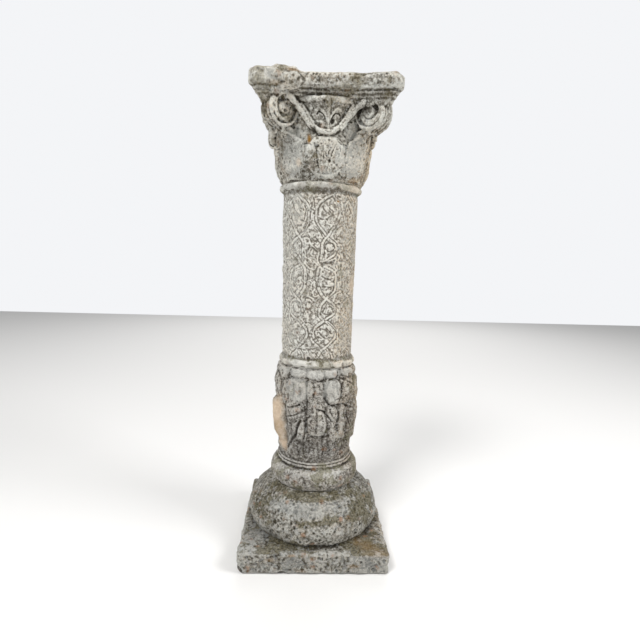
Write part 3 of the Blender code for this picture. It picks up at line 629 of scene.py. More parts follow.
# each cut: half width, depth, line
shaftCuts = {
    "almondTop": (1.2, 1.8, [(16, 711), (6.7, 705), (2.2, 700), (-0.8, 695), (-3.3, 688), (-4.1, 679)]),
    "almondFoot": (1.2, 1.6, [(-4.1, 679), (-1.2, 674), (3, 672), (8.8, 673), (13, 677), (18, 679)]),
    "almondSide": (1.1, 1.5, [(16, 711), (20.5, 705), (24, 703.6)]),
    "petalOne": (1.1, 1.6, [(2, 693), (6, 686), (12, 681)]),
    "petalTwo": (1.1, 1.6, [(7, 700), (11, 692), (17, 687)]),
    "topDash": (1.2, 1.6, [(-0.3, 714), (7.2, 714)]),
    "middleLine": (1.1, 2.0, [(-10.6, 708), (-10.3, 700), (-10.3, 693)]),
    "barLeft": (0.9, 1.5, [(-16.5, 700), (-15.5, 688), (-15.8, 676)]),
    "leftArc": (1.2, 1.8, [(-55, 701), (-49.5, 706), (-44, 709)]),
    "leftDouble": (0.9, 1.6, [(-37, 709), (-33, 704), (-29, 700)]),
    "leftDoubleTwo": (0.9, 1.5, [(-35, 714), (-29, 707), (-27, 701)]),
    "leftHook": (1.1, 1.8, [(-26, 695), (-23, 686), (-24, 675), (-26, 670), (-31, 670)]),
    "leftLeaf": (1.1, 1.6, [(-46, 698), (-41, 690), (-36, 684), (-33, 677)]),
    "shade": (2.0, 2.0, [(-39, 661), (-34, 661), (-30, 662)]),
    "leftEdge": (1.1, 1.8, [(-42, 640), (-36, 645), (-28, 652), (-25, 654), (-22, 661), (-19, 667)]),
    "pairOne": (0.9, 1.6, [(-8.7, 668), (-3.7, 658), (-0.3, 652), (8, 644)]),
    "pairTwo": (0.9, 1.5, [(-7.4, 658), (-0.3, 647), (4.7, 640)]),
    "rosetteRing": (1.1, 1.6, [
        (10, 633), (6.5, 627), (8, 620), (13.8, 617), (20, 620), (22, 627), (18, 633),
    ]),
    "bulbLeft": (1.5, 2.2, [(-17, 625), (-19.5, 620), (-21, 615.5)]),
    "bulbRight": (1.5, 2.0, [(-10, 622), (-7.5, 619), (-5, 617)]),
    "bulbTop": (1.1, 1.6, [(-30, 640), (-24, 643), (-17, 640), (-13, 634)]),
    "curl": (1.1, 1.6, [(-8, 634), (-4.5, 636), (-1.5, 632), (-4, 628), (-8, 630)]),
    "shortLine": (0.9, 1.4, [(-8.7, 642), (-5, 638)]),
    "wedge": (3.5, 3.0, [(3, 594), (9, 598), (16, 598.5), (20, 598)]),
    "leftBand": (1.1, 1.8, [(-59.5, 602), (-48, 601), (-42, 604), (-37, 608), (-33, 615), (-30, 618)]),
    "leftLow": (1.1, 1.6, [(-41, 602), (-36, 597), (-33, 592), (-26, 585)]),
    "scrollLine": (1.1, 1.8, [(3.8, 555), (9.7, 555), (17, 556), (22, 558)]),
    "scrollHook": (1.2, 1.9, [(23, 557), (22, 550), (20, 545.6), (17, 541), (16, 538)]),
    "scrollLeaf": (1.1, 1.6, [(-7, 566), (-3, 560), (-5, 551), (-10, 552), (-10.5, 559)]),
    "scrollTop": (1.1, 1.6, [(2, 575), (8, 570), (14, 568), (20, 570)]),
    "arch": (1.2, 1.9, [(-24, 528), (-20, 535), (-13.7, 535.6), (-9.5, 530.6), (-6, 528)]),
    "archLow": (1.2, 1.9, [(-23, 508), (-20.3, 515), (-15.3, 513), (-10.3, 509.4)]),
    "leafUp": (1.1, 1.8, [(-42, 542), (-38, 546), (-34, 549)]),
    "leafDown": (1.1, 1.8, [(-34.5, 535), (-32, 538), (-30, 540.6)]),
    "leafVein": (0.9, 1.4, [(-44, 568), (-38, 562), (-33, 555)]),
    "roseRing": (1.1, 1.6, [(9, 517), (7, 510), (11, 504), (17, 504), (21, 509), (20, 516), (14, 519.5)]),
    "lozenge": (1.2, 1.8, [(15.5, 489), (20, 484), (24.7, 478), (28.8, 470.6)]),
    "lozengeLeft": (1.1, 1.6, [(7, 486), (3.5, 483), (-0.3, 480.6)]),
    "lozengeIn": (1.1, 1.6, [(2, 473), (5.5, 466), (10.5, 461), (16, 460), (21, 460.5)]),
    "lozengeHeart": (0.9, 1.5, [(12, 480), (16, 475), (20, 468)]),
    "veeLeft": (1.1, 1.8, [(-18, 475), (-16.5, 470), (-15, 465)]),
    "veeRight": (1.1, 1.8, [(-10.3, 476), (-13, 470), (-15, 465)]),
    "lowArc": (1.1, 1.6, [(-26, 484), (-20, 488), (-12.8, 487)]),
    "wave": (1.2, 1.8, [(-52, 433), (-44, 430), (-38, 435.6), (-30, 438), (-23, 437), (-18, 434)]),
    "waveLow": (1.1, 1.5, [(-38, 421), (-34, 423), (-31, 425)]),
    "hatchOne": (0.9, 1.6, [(-6, 432), (-1, 425), (4, 418)]),
    "hatchTwo": (0.9, 1.6, [(-2, 437), (3, 434), (8, 424)]),
    "hatchThree": (0.9, 1.5, [(26, 434), (21, 431), (15.5, 429)]),
    "hatchFour": (0.9, 1.5, [(13, 441), (18, 436), (22, 426)]),
}
# each hole: angle, height, half width, half height, depth; the last one is on the front alone
shaftHoles = [
    (-42, 679, 1.6, 2.0, 2.2), (25, 703, 1.8, 1.6, 1.4), (-15.8, 674, 1.4, 1.8, 1.6),
    (14.7, 624, 1.2, 1.3, 1.8), (3.8, 613, 1.3, 1.3, 1.8), (10.5, 616, 1.1, 1.2, 1.5),
    (25.5, 627, 1.3, 1.5, 1.8), (13.8, 639, 1.2, 1.2, 1.5), (23, 592, 1.5, 1.8, 2.0),
    (28.8, 606.7, 1.4, 1.6, 1.8), (-47.8, 600.6, 1.5, 1.5, 1.8), (-15, 589, 2.4, 1.1, 1.4),
    (-5, 587, 1.1, 1.1, 1.4), (-1, 587, 1.1, 1.1, 1.4), (-20.3, 512, 1.5, 1.5, 2.0),
    (-46, 530, 1.3, 1.6, 2.0), (-46, 504, 1.4, 1.6, 2.0), (-46, 490, 1.2, 4.0, 1.8),
    (-34, 482, 1.3, 1.3, 1.7), (-34, 506, 1.3, 1.3, 1.7), (14.3, 511, 1.2, 1.4, 1.8),
    (13.4, 500, 1.2, 1.2, 1.7), (6.3, 504, 1.4, 1.2, 1.2), (-4.5, 472, 1.4, 2.4, 1.3),
    (-21, 483, 1.3, 1.2, 1.7), (26, 425, 1.3, 1.6, 1.6), (-14.5, 419, 3.8, 4.6, 4.0),
]
# painted shade between the leaves: angle, height, half width, half height, strength
shaftShade = [
    (12, 597, 9, 4, 0.7), (-47, 600, 5, 3, 0.6), (-19, 619, 2.5, 5, 0.6), (-8, 619, 3, 3, 0.6),
    (-35, 661, 5, 2.5, 0.5), (-20, 514, 3, 3, 0.6), (-42, 679, 2.5, 4, 0.5), (-14.5, 419, 4, 5, 1.0),
    (-15, 470, 4, 5, 0.6), (-2, 587, 4, 2, 0.5), (-32, 600, 5, 5, 0.5), (-22, 655, 4, 4, 0.4),
    (4, 655, 4, 5, 0.5), (-28, 520, 4, 5, 0.45), (-6, 530, 5, 3, 0.5), (-34, 470, 5, 6, 0.5),
    (-20, 478, 3, 4, 0.5), (23, 592, 2, 2.5, 0.6), (-46, 530, 2, 3, 0.5),
]
# raised leaves: angle, height, half width, half height, rise
shaftLobes = [
    (-25, 632, 5, 6, 1.5), (-4, 629, 5, 5.5, 1.5), (-13, 642, 3.6, 8, 1.3), (-18.5, 685, 1.9, 15, 1.5),
    (-7, 685, 1.9, 15, 1.5), (-14, 661, 3.2, 5, 1.2), (-15, 522, 5, 6, 1.5), (-33, 543, 5, 6, 1.5),
    (-21, 500, 4, 5, 1.3), (-8, 500, 4, 5, 1.3), (-4.5, 472, 3.6, 5, 1.6), (-21, 561, 5, 7, 1.4),
    (-6, 558, 4.5, 6, 1.5), (-13, 577, 3.8, 8, 1.3), (-22, 591, 4, 4, 1.2), (-4, 594, 4, 4, 1.2),
    (16, 690, 5, 8, 1.4), (7, 687, 4, 8, 1.3), (13, 626, 5, 6, 1.5), (15, 562, 6, 4.5, 1.3),
    (13, 548, 5, 4.5, 1.2), (14, 512, 5, 6, 1.5), (18, 478, 6, 7, 1.3), (-37, 690, 5, 10, 1.4),
    (-40, 625, 5, 6, 1.3), (-36, 577, 5, 8, 1.4), (-36, 559, 4, 5, 1.2), (-37, 515, 5, 8, 1.4),
    (-38, 480, 4, 7, 1.3), (-37, 450, 4, 7, 1.3), (14, 452, 5, 7, 1.3), (-13, 450, 4, 8, 1.4),
    (-22, 442, 4, 5, 1.3), (-3, 446, 4, 5, 1.2), (16, 432, 5, 4, 1.2), (-30, 431, 5, 4, 1.3),
    (-46, 425, 5, 4, 1.3), (28, 652, 4, 9, 1.3), (30, 560, 3, 9, 1.2), (30, 500, 3, 8, 1.2),
]


def bandSection(far):
    # a band's cross-section: two round ridges with a thin groove between them
    share = far * 1000 / shaft["bandHalf"]
    rise = (1 - np.clip(share, 0, 1) ** 4) * (1 - 0.42 * peak(0, 0.24, share))
    return shaft["bandRise"] / 1000 * rise


def shaftBands(height, first, second, spot):
    # the strands take turns to run over each other where they cross, and are worn here and there
    crossings = np.array(shaft["crossings"]) / 1000
    nearest = np.abs(height[:, None] - crossings[None, :]).argmin(axis=1)
    firstOver = nearest % 2 == 0
    over = np.where(firstOver, first, second)
    under = np.where(firstOver, second, first)
    edge = shaft["bandHalf"] / 1000
    notch = 1 - 0.8 * (1 - smooth(edge, edge + 0.0013, over))
    kept = 0.40 + 0.60 * smooth(-0.35, 0.30, clouds(spot, 0.021, 12.0))
    return np.maximum(bandSection(over), bandSection(under) * notch) * kept


def shaftRelief(angle, height, spot):
    wall, edge = shaft["wall"], shaft["bandHalf"] / 1000
    mirrored = np.abs(wrapped(angle - shaft["mirror"], 90.0))
    strands = (shaft["firstStrand"], shaft["secondStrand"])
    first, second = (farFromLine(mirrored, height, line, wall, 360.0, 0.012) for line in strands)
    clear = np.minimum(first, second)
    across = arc(mirrored, wall) * 1000 + shaft["leafSway"] * clouds(spot, 0.012, 4.0)
    along = height * 1000 + shaft["leafSway"] * clouds(spot, 0.012, 7.0)
    leaves = shaft["leafShare"] * smallLeaves(across, along, *shaft["leafSize"], shaft["leafSeed"])
    leaves += (1 - shaft["leafShare"]) * (0.75 + 0.5 * clouds(spot, 0.007, 5.0))
    fill = shaft["fillRise"] / 1000 * leaves * smooth(edge + 0.0004, edge + 0.0018, clear)
    # worn curling rims of the leaves that can no longer be told apart
    bent = spot + 0.0022 * clouds(spot, 0.009, 21.0)[:, None]
    rim = np.clip(1 - np.abs(clouds(bent, shaft["curlSize"], 13.0)) / 0.24, 0, 1)
    rim *= smooth(-0.45, 0.15, clouds(spot, 0.018, 17.0)) * smooth(edge - 0.0010, edge + 0.0010, clear)
    fill = fill + shaft["curlRise"] / 1000 * rim
    fill *= 0.95 + 0.65 * clouds(spot, 0.015, 31.0)
    ditch = 0.0007 * peak(0.0006, 0.0010, clear - edge) * (0.5 + 1.1 * clouds(spot, 0.010, 2.0))
    for count, (middle, level, halfAngle, halfHeight, top) in enumerate(shaftLobes):
        # pointed leaves that lean away from the mirror line, each with a vein
        lean = shaft["leafLean"] * (1 if middle > shaft["mirror"] else -1) * (1 if count % 2 else -1)
        if abs(middle - shaft["mirror"]) < shaft["mirrorFree"]:
            lean = 0
        side = arc(wrapped(angle - middle, 90.0), wall) * 1000
        upward = height * 1000 - level
        x = side * math.cos(lean) - upward * math.sin(lean)
        z = side * math.sin(lean) + upward * math.cos(lean)
        away = (np.abs(x) / (halfAngle * 1.05)) ** 1.6 + (np.abs(z) / (halfHeight * 1.2)) ** 1.6
        lobe = np.sqrt(np.clip(1 - away, 0, 1)) * smooth(edge - 0.0004, edge + 0.0012, clear)
        vein = 0.0007 * peak(0, 0.8, x) * lobe
        fill = np.maximum(fill, (0.0010 + 1.15 * top / 1000) * lobe - vein)
    cuts = carvedDepth(angle, height, shaftCuts, shaftHoles[:-1], wall, 90.0)
    carved = np.maximum(shaftBands(height, first, second, spot), fill) - ditch - cuts
    return carved * between(*shaft["carved"], height)


def buildShaft():
    mesh = spunBlock("shaftStone", shaftLow.z, shaftHigh.z, *shaft["steps"])
    angle, height, _ = polar(getPoints(mesh))
    spot = onColumn(angle, height, 0.07)
    ring = readCurve(shaft["ringProfile"], height)
    onRing = smooth(*shaft["onRing"], ring)
    # the carving is worn down on the right, and a little on the left
    worn = 0.80 + 0.30 * clouds(spot, 0.045, 3.0)
    worn *= 1 - shaft["wornRightShare"] * between(*shaft["wornRight"], angle)
    worn *= 1 - shaft["wornLeftShare"] * between(*shaft["wornLeft"], -angle)
    swayedAngle = angle + shaft["sway"] * clouds(spot, 0.022, 1.0)
    swayedHeight = height + shaft["sway"] / 1000 * clouds(spot, 0.020, 5.0)
    relief = shaftRelief(swayedAngle, swayedHeight, spot) * np.clip(worn, 0.18, 1.15)
    relief = blurred(mesh, relief[:, None], 1)[:, 0]
    inside = offEnds(height, shaftLow, shaftHigh)
    ragged = onRing * np.minimum(0, clouds(spot, 0.014, 8.0) + 0.15) * 0.0044
    hole = drillHoles(angle, height, shaftHoles[-1:], shaft["wall"], 360.0)
    radius = ring + inside * (relief + layered(spot, shaft["wear"]) + ragged - hole)
    wave = 0.0018 * clouds(onColumn(angle, 0 * angle, 0.5), 0.3, 2.0) * onRing
    setPoints(mesh, onColumn(angle, height + inside * wave, radius))
    pitted(mesh, shaftLow.z + 0.002, shaftHigh.z - 0.002, **shaft["pits"])
    points, angle, height, cloud = surveyed(mesh, 0.04)
    right = between(8, 48, 120, 165, angle)
    ringDirt = smooth(0.7155, 0.7215, height) + (1 - smooth(0.414, 0.421, height))
    lines = peak(0.7192, 0.0022, height) + peak(0.4165, 0.0020, height)
    stains = 0.9 * smooth(*shaft["onRing"], readCurve(shaft["ringProfile"], height))
    stains *= smooth(0.0, 0.5, clouds(points, 0.018, 9.0))
    addMasks(
        mesh, shaft["maskMost"],
        warm=0.15 + 0.75 * right + 0.25 * cloud,
        moss=0.55 * ringDirt + 0.25 * cloud + 0.15 * right,
        bare=patch(angle, height, shaft["bareSpots"]),
        crusted=0.55 * smooth(-10, -40, angle) + 0.35 + 0.45 * right + 0.2 * cloud,
        ochre=patch(angle, height, shaft["ochreSpots"]),
        # painted shade in the corners where the rings meet the wall and between the leaves, and real stains
        # on the rings
        soot=lines * (0.55 + 0.5 * cloud) + patch(angle, height, shaftShade) + stains,
    )
    mesh.materials.append(stoneFinish("paleGreyStone", {
        **stoneLook, "dark": (122, 117, 107), "middle": (182, 178, 169), "light": (224, 221, 213),
        "dirtAndShade": (98, 92, 82), "toneLow": 0.345, "toneHigh": 0.615, "gritShare": 0.5,
        "edgePale": 0.09, "grooveDark": 0.21, "hollowDark": 0.16, "hollowHigh": 1.3, "cavity": 0.33,
        "creaseLow": 0.08, "creaseHigh": 0.42, "hollowDirtAndShade": 0.6, "dirtAndShadeShare": 0.8, "proud": 1.1,
        "crust": 0.35, "moss": 0.5, "blots": 0.12, "rust": 0.2, "poreSize": 0.24,
    }))
    return addObject("shaftStone", mesh)


# Lower drum: draped, lobed carving over a round foot

drum = {
    "steps": (432, 216),
    "profile": [
        (0.1463, 0.0835), (0.1500, 0.0882), (0.1565, 0.0917), (0.1670, 0.0935), (0.1760, 0.0925),
        (0.1850, 0.0888), (0.1895, 0.0838), (0.1922, 0.0792), (0.1945, 0.0792), (0.1965, 0.0800),
        (0.1990, 0.0790), (0.2005, 0.0772), (0.2025, 0.0786), (0.2045, 0.0786), (0.2065, 0.0762),
        (0.2100, 0.0754), (0.2400, 0.0766), (0.3000, 0.0786), (0.3500, 0.0788), (0.3900, 0.0768),
        (0.3975, 0.0752), (0.4007, 0.0728),
    ],
    "wall": 0.083, "squareness": 2.1, "repeat": 180.0, "carved": (0.208, 0.222, 0.397, 0.4),
    "breakTop": (-80.0, 0.325), "breakFoot": (-58.0, 0.228), "breakHalf": 11.0, "breakRise": 0.013,
    "wear": [(0.0009, 0.028, 0), (0.0007, 0.008, 5), (0.0003, 0.0035, 9)],
    "pits": {"count": 1300, "smallest": 0.0012, "largest": 0.0038, "depth": 0.0014, "seed": 12},
    "maskMost": {"moss": 1.3, "bare": 0.95, "crusted": 1.4},
    "bareSpots": [(-68, 300, 14, 34, 1.0), (-60, 262, 9, 36, 1.0), (-55, 236, 7, 18, 0.8)],
    "ochreSpots": [(-64, 262, 7, 22, 0.35)],
    "crustSpots": [
        (-28, 360, 18, 26, 1.4), (22, 360, 12, 22, 0.9), (-50, 180, 40, 12, 0.4), (20, 186, 40, 8, 0.5),
        (0, 392, 60, 9, 0.9), (-27, 364, 10, 14, 1.4), (14, 362, 5, 18, 1.2),
    ],
}
# each form: angle, height, half width in degrees, half height, rise
drumForms = {
    "knotLeft": (-28, 0.391, 13, 0.012, 0.0065),
    "knotMiddle": (-3, 0.388, 13, 0.011, 0.0060),
    "knotRight": (20, 0.392, 10, 0.011, 0.0060),
    "knotFarRight": (52, 0.390, 12, 0.012, 0.0060),
    "knotFarLeft": (-57, 0.386, 11, 0.016, 0.0050),
    "knotEdge": (80, 0.388, 13, 0.012, 0.0045),
    "swagLeft": (-30, 0.357, 17, 0.026, 0.0070),
    "swagEdge": (-53, 0.348, 8, 0.026, 0.0045),
    "swagSide": (-75, 0.352, 12, 0.028, 0.0065),
    "swagMiddle": (-2, 0.355, 13, 0.026, 0.0050),
    "tailRight": (25, 0.354, 12, 0.027, 0.0085),
    "tailFarRight": (52, 0.354, 14, 0.027, 0.0075),
    "tailEdge": (80, 0.347, 13, 0.033, 0.0085),
    "foldsLeft": (-33, 0.312, 17, 0.030, 0.0055),
    "foldsSide": (-66, 0.300, 15, 0.034, 0.0055),
    "foldsMiddle": (-4, 0.322, 13, 0.016, 0.0040),
    "bundle": (1, 0.291, 15, 0.030, 0.0100),
    "fall": (-21, 0.272, 8, 0.028, 0.0065),
    "swirl": (22, 0.304, 10, 0.027, 0.0050),
    "pleatNear": (42, 0.290, 9, 0.046, 0.0060),
    "pleatFar": (60, 0.288, 10, 0.048, 0.0065),
    "pleatEdge": (81, 0.286, 12, 0.050, 0.0080),
    "hemLeft": (-33, 0.234, 17, 0.026, 0.0045),
    "hemSide": (-66, 0.232, 15, 0.024, 0.0040),
    "hemMiddle": (-4, 0.236, 15, 0.026, 0.0040),
    "hemRight": (27, 0.246, 17, 0.036, 0.0045),
    "hemFar": (57, 0.226, 15, 0.020, 0.0030),
}
# each crease: half width, depth, line
drumCreases = {
    "slant": (4.2, 6.0, [(-23, 294), (-28, 278), (-30.6, 263), (-36, 253), (-39, 243), (-45, 231)]),
    "bundleLeft": (3.0, 4.5, [
        (-8.3, 308), (-12.8, 299), (-14.4, 288), (-14.4, 278), (-15.6, 269), (-17, 259),
    ]),
    "bundleThin": (1.4, 2.0, [(-17, 259), (-18, 250), (-18, 241)]),
    "bundleRight": (2.4, 3.6, [(0.6, 322), (7, 319), (14, 311), (18.3, 303), (21.7, 296)]),
    "bundleFoot": (2.0, 2.6, [(-12.8, 267), (-1.7, 265), (7, 265), (14, 262.7), (20.6, 266)]),
    "crescent": (1.1, 1.8, [(17.8, 296), (21.7, 289)]),
    "crescentTwo": (2.0, 1.2, [(17, 288), (20, 285), (22.8, 282)]),
    "foldOne": (2.6, 1.4, [(-6, 306), (-7, 294), (-6, 281), (-8, 271)]),
    "foldTwo": (2.4, 1.2, [(0, 313), (1, 299), (0, 284), (2, 272)]),
    "foldThree": (2.4, 1.2, [(7, 310), (9, 298), (8, 284), (10, 271)]),
    "lobe": (1.3, 1.8, [(-22, 288), (-19, 279), (-21, 268)]),
    "tailUnder": (2.4, 4.0, [
        (12.8, 353), (14, 341), (17, 332), (22.8, 328), (31.7, 328), (40.6, 328), (48, 322), (58, 316),
    ]),
    "tailLine": (2.1, 2.0, [(22, 350), (25, 341), (32, 342)]),
    "tailFold": (2.4, 1.4, [(28, 374), (27, 362), (30, 352)]),
    "swagLine": (2.4, 2.2, [(-14.4, 376), (-14, 359), (-13, 348), (-13, 328), (-14, 313)]),
    "besideTail": (2.2, 2.0, [(9.4, 372), (9.4, 365), (10, 348), (12, 338)]),
    "swagEdgeLine": (2.0, 3.8, [(-53, 376), (-56, 363), (-58, 346), (-63, 335)]),
    "swagFoldOne": (2.1, 2.0, [(-45, 372), (-42, 356), (-44, 339), (-42, 330)]),
    "swagFoldTwo": (1.9, 1.7, [(-34, 372), (-31, 358), (-33, 343)]),
    "swagFoldThree": (2.4, 1.3, [(-24, 370), (-23, 354), (-26, 340)]),
    "midFold": (1.8, 1.6, [(-5, 374), (-3, 360), (-5, 344)]),
    "midFoldTwo": (2.2, 1.1, [(3, 374), (4, 360), (2, 342)]),
    "stripEdge": (1.6, 2.6, [(-50, 327), (-48.5, 312), (-48.5, 290), (-49, 270), (-50, 255)]),
    "underKnotLeft": (1.7, 2.8, [(-44, 378), (-36, 381), (-29, 382), (-22, 383), (-17, 391)]),
    "underKnotMiddle": (1.6, 2.6, [(-15, 384), (-9, 382), (-3, 381), (3, 378), (8, 379), (10, 384)]),
    "underKnotRight": (1.5, 2.4, [(12, 388), (19, 382), (27, 383), (33, 388)]),
    "underKnotFar": (1.9, 3.2, [(40, 386), (46, 383), (53, 380), (61, 383)]),
    "knotPartOne": (1.5, 1.8, [(-14.5, 397), (-14.5, 386)]),
    "knotPartTwo": (1.5, 1.8, [(10.5, 397), (10, 385)]),
    "knotPartThree": (1.5, 1.8, [(37, 397), (37, 384)]),
    "knotPartFour": (1.4, 2.4, [(-43, 397), (-44, 380)]),
    "rightFold": (2.6, 2.6, [(36, 381), (42, 378), (51, 371), (64, 361)]),
    "rightPleat": (2.4, 2.6, [(44, 319), (48, 305), (53, 293), (58, 276), (64, 262)]),
    "rightPleatTwo": (2.2, 2.4, [(42, 316), (44, 295), (44.4, 271), (47, 259), (52, 242)]),
    "rightPleatThree": (2.1, 2.2, [(33, 312), (34, 292), (33, 270), (36, 250)]),
    "risingFold": (2.2, 2.4, [(-44, 299), (-36, 303), (-28, 308), (-20, 315), (-13, 322)]),
    "risingFoldTwo": (2.1, 2.0, [(-44, 318), (-34, 322), (-24, 329)]),
    "risingFoldThree": (2.1, 2.0, [(-42, 284), (-34, 288), (-28, 294)]),
    "swirlLine": (1.9, 2.0, [(19, 322), (22, 309), (25, 302), (30, 298)]),
    "hemOne": (2.4, 1.4, [(-26, 256), (-27, 240), (-25, 222)]),
    "hemTwo": (2.2, 1.2, [(-10, 258), (-8, 242), (-10, 224)]),
    "hemThree": (2.2, 1.2, [(4, 257), (3, 240), (5, 222)]),
    "hemFour": (2.4, 1.4, [(17, 262), (18, 246), (15, 226)]),
    "hemFive": (2.4, 1.4, [(30, 258), (29, 242), (32, 224)]),
    "hemSix": (2.4, 1.2, [(-56, 250), (-54, 236), (-57, 220)]),
    "sideFold": (2.4, 2.4, [(-70, 376), (-72, 350), (-68, 330)]),
    "sideFoldTwo": (2.2, 2.2, [(70, 376), (68, 350), (72, 326), (70, 300), (74, 262)]),
    "sideFoldThree": (2.2, 2.2, [(86, 376), (84, 350), (87, 320), (84, 284), (88, 246)]),
}
# each hole: angle, height, half width, half height, depth
drumHoles = [
    (14, 311, 2.4, 3.0, 2.4), (44.4, 271, 2.0, 3.0, 2.2), (1.7, 292, 1.4, 1.6, 1.4), (-5, 248, 1.5, 1.6, 1.5),
    (-4, 235, 1.4, 1.5, 1.5), (-52, 336, 1.8, 2.0, 2.0), (57, 249, 2.2, 2.0, 1.8), (53, 381, 3.0, 2.0, 2.4),
    (22, 393, 2.0, 1.8, 2.0), (28, 342, 2.6, 1.8, 2.2),
]
# painted shade in the deep creases and under the knots and tails, and broad darkening low on the front and up
# the right side: angle, height, half width, half height, strength
drumShade = [
    (-14, 285, 4, 16, 0.9), (-36, 256, 5, 16, 0.8), (14, 311, 4, 6, 0.8), (26, 326, 16, 4, 0.75),
    (-57, 362, 4, 16, 0.7), (53, 381, 6, 4, 0.9), (-20, 232, 22, 12, 0.35), (47, 286, 5, 30, 0.5),
    (2, 265, 20, 3.5, 0.6), (-14, 330, 2.5, 26, 0.5), (11, 348, 2.5, 16, 0.5), (0, 384, 10, 3, 0.5),
    (0, 240, 70, 26, 0.75), (55, 290, 16, 70, 0.65),
]


def drumRelief(angle, height):
    rise = np.zeros(len(angle))
    for middle, level, halfAngle, halfHeight, top in drumForms.values():
        across = np.abs(wrapped(angle - middle, drum["repeat"])) / halfAngle
        along = np.abs(height - level) / halfHeight
        far = across ** drum["squareness"] + along ** drum["squareness"]
        rise = np.maximum(rise, top * np.sqrt(np.clip(1 - far, 0, 1)))
    # the strip on the left where the skin has come off, slanting down towards the front
    (topAngle, top), (footAngle, foot) = drum["breakTop"], drum["breakFoot"]
    share = (top - height) / (top - foot)
    line = topAngle + (footAngle - topAngle) * share
    across = wrapped(angle - line) / drum["breakHalf"]
    ends = between(-0.12, 0.08, 0.6, 1.05, share)
    broken = drum["breakRise"] * ends * np.sqrt(np.clip(1 - across * across, 0, 1))
    cuts = carvedDepth(angle, height, drumCreases, drumHoles, drum["wall"], drum["repeat"])
    cuts *= np.where(broken > rise, 0.25, 1.0)
    return np.maximum(rise, broken) - cuts, broken


def buildDrum():
    mesh = spunBlock("lowerDrumStone", drumLow.z, drumHigh.z, *drum["steps"])
    angle, height, _ = polar(getPoints(mesh))
    spot = onColumn(angle, height, drum["wall"])
    relief, broken = drumRelief(angle, height)
    relief = blurred(mesh, relief[:, None], 4)[:, 0]
    carved = between(*drum["carved"], height)
    inside = offEnds(height, drumLow, drumHigh)
    lumps = 0.0019 * clouds(spot, 0.015, 1.0) + 0.0006 * clouds(spot * (1, 1, 0.45), 0.0075, 3.0)
    rough = layered(spot, drum["wear"]) + carved * lumps * np.where(broken > 0.002, 0.4, 1.0)
    edge = np.minimum(0, clouds(spot, 0.013, 4.0) + 0.1) * 0.0016 * (1 - carved)
    radius = readCurve(drum["profile"], height) + inside * (relief * carved + rough + edge)
    setPoints(mesh, onColumn(angle, height, radius))
    pitted(mesh, drumLow.z + 0.002, drumHigh.z - 0.002, **drum["pits"])
    _, angle, height, cloud = surveyed(mesh, 0.04)
    right = between(20, 60, 120, 165, angle)
    left = between(16, 40, 120, 150, -angle)
    foot = 1 - smooth(0.188, 0.212, height)
    footLines = peak(0.1935, 0.003, height) + peak(0.2065, 0.003, height)
    addMasks(
        mesh, drum["maskMost"],
        warm=0.15 + 0.6 * right + 0.3 * cloud,
        moss=0.6 * foot + 0.5 * right + 0.3 * cloud,
        bare=patch(angle, height, drum["bareSpots"]) * left * (0.9 + 0.35 * cloud),
        crusted=0.35 + 0.3 * cloud + patch(angle, height, drum["crustSpots"]),
        ochre=patch(angle, height, drum["ochreSpots"]) * left,
        # darker lines along the foot's two fillets, and painted shade in the creases from the table above
        soot=0.5 * footLines * (1 + cloud) + patch(angle, height, drumShade),
    )
    mesh.materials.append(stoneFinish("carvedGreyStone", {
        **stoneLook, "dark": (78, 73, 66), "middle": (140, 136, 129), "light": (196, 193, 186),
        "dirtAndShade": (42, 37, 32), "pale": (208, 208, 202), "rust": 0.5, "grooveDark": 0.08,
    }))
    return addObject("lowerDrumStone", mesh)


# Plinth and the heavy round moulding on it

plinth = {
    "side": 0.300, "height": 0.049, "bevel": 0.0055, "grain": 0.0019, "triangles": 194000,
    "clearance": 0.0002,  # what stays free inside the solid's box
    "steps": (160, 60),  # squares round the moulding and up it
    "moulding": [
        (0.0440, 0.1290), (0.0490, 0.1310), (0.0620, 0.1385), (0.0790, 0.1410), (0.0960, 0.1360),
        (0.1170, 0.1240), (0.1340, 0.1060), (0.1435, 0.0880), (0.1460, 0.0800),
    ],
    "chips": [
        ((-0.158, -0.158, 0.004), 0.021), ((0.156, -0.156, 0.052), 0.013), ((-0.062, -0.158, -0.004), 0.015),
        ((0.158, 0.060, 0.056), 0.016), ((-0.040, 0.158, 0.056), 0.015), ((0.060, -0.1585, 0.054), 0.011),
        ((-0.110, -0.158, 0.055), 0.0115), ((0.120, -0.1585, -0.004), 0.012), ((-0.158, 0.020, 0.055), 0.012),
    ],
    "wear": [(0.0019, 0.036, 0), (0.0012, 0.014, 4), (0.0007, 0.006, 7)],
    "pits": {"count": 1700, "smallest": 0.0022, "largest": 0.0062, "depth": 0.0025, "seed": 13},
    "maskMost": {"moss": 1.5, "warm": 0.8, "crusted": 1.2},
    "mossSpots": [
        (-6, 100, 14, 9, 1.2), (12, 104, 9, 8, 1.0), (50, 106, 28, 32, 1.2), (-60, 106, 24, 30, 1.1),
        (-30, 50, 14, 6, 0.8), (36, 50, 14, 8, 1.3), (4, 139, 70, 7, 1.1), (-12, 62, 20, 6, 0.6),
        (150, 90, 40, 30, 0.5), (-140, 60, 30, 30, 0.5),
    ],
    "cleanSpots": [(-14, 121, 34, 10, 0.6)],
    "ochreSpots": [
        (40, 46, 7, 5, 0.4), (-16, 44, 3, 3, 0.5), (-30, 32, 3, 4, 0.4), (28, 20, 4, 5, 0.3),
        (-8, 8, 5, 3, 0.3),
    ],
    "crustSpots": [
        (45, 22, 26, 26, 0.9), (-16, 121, 36, 11, 1.0), (-44, 52, 20, 7, 0.6), (20, 122, 30, 12, 0.5),
        (-10, 20, 60, 22, 0.3), (-45, 60, 30, 12, 0.5),
    ],
}


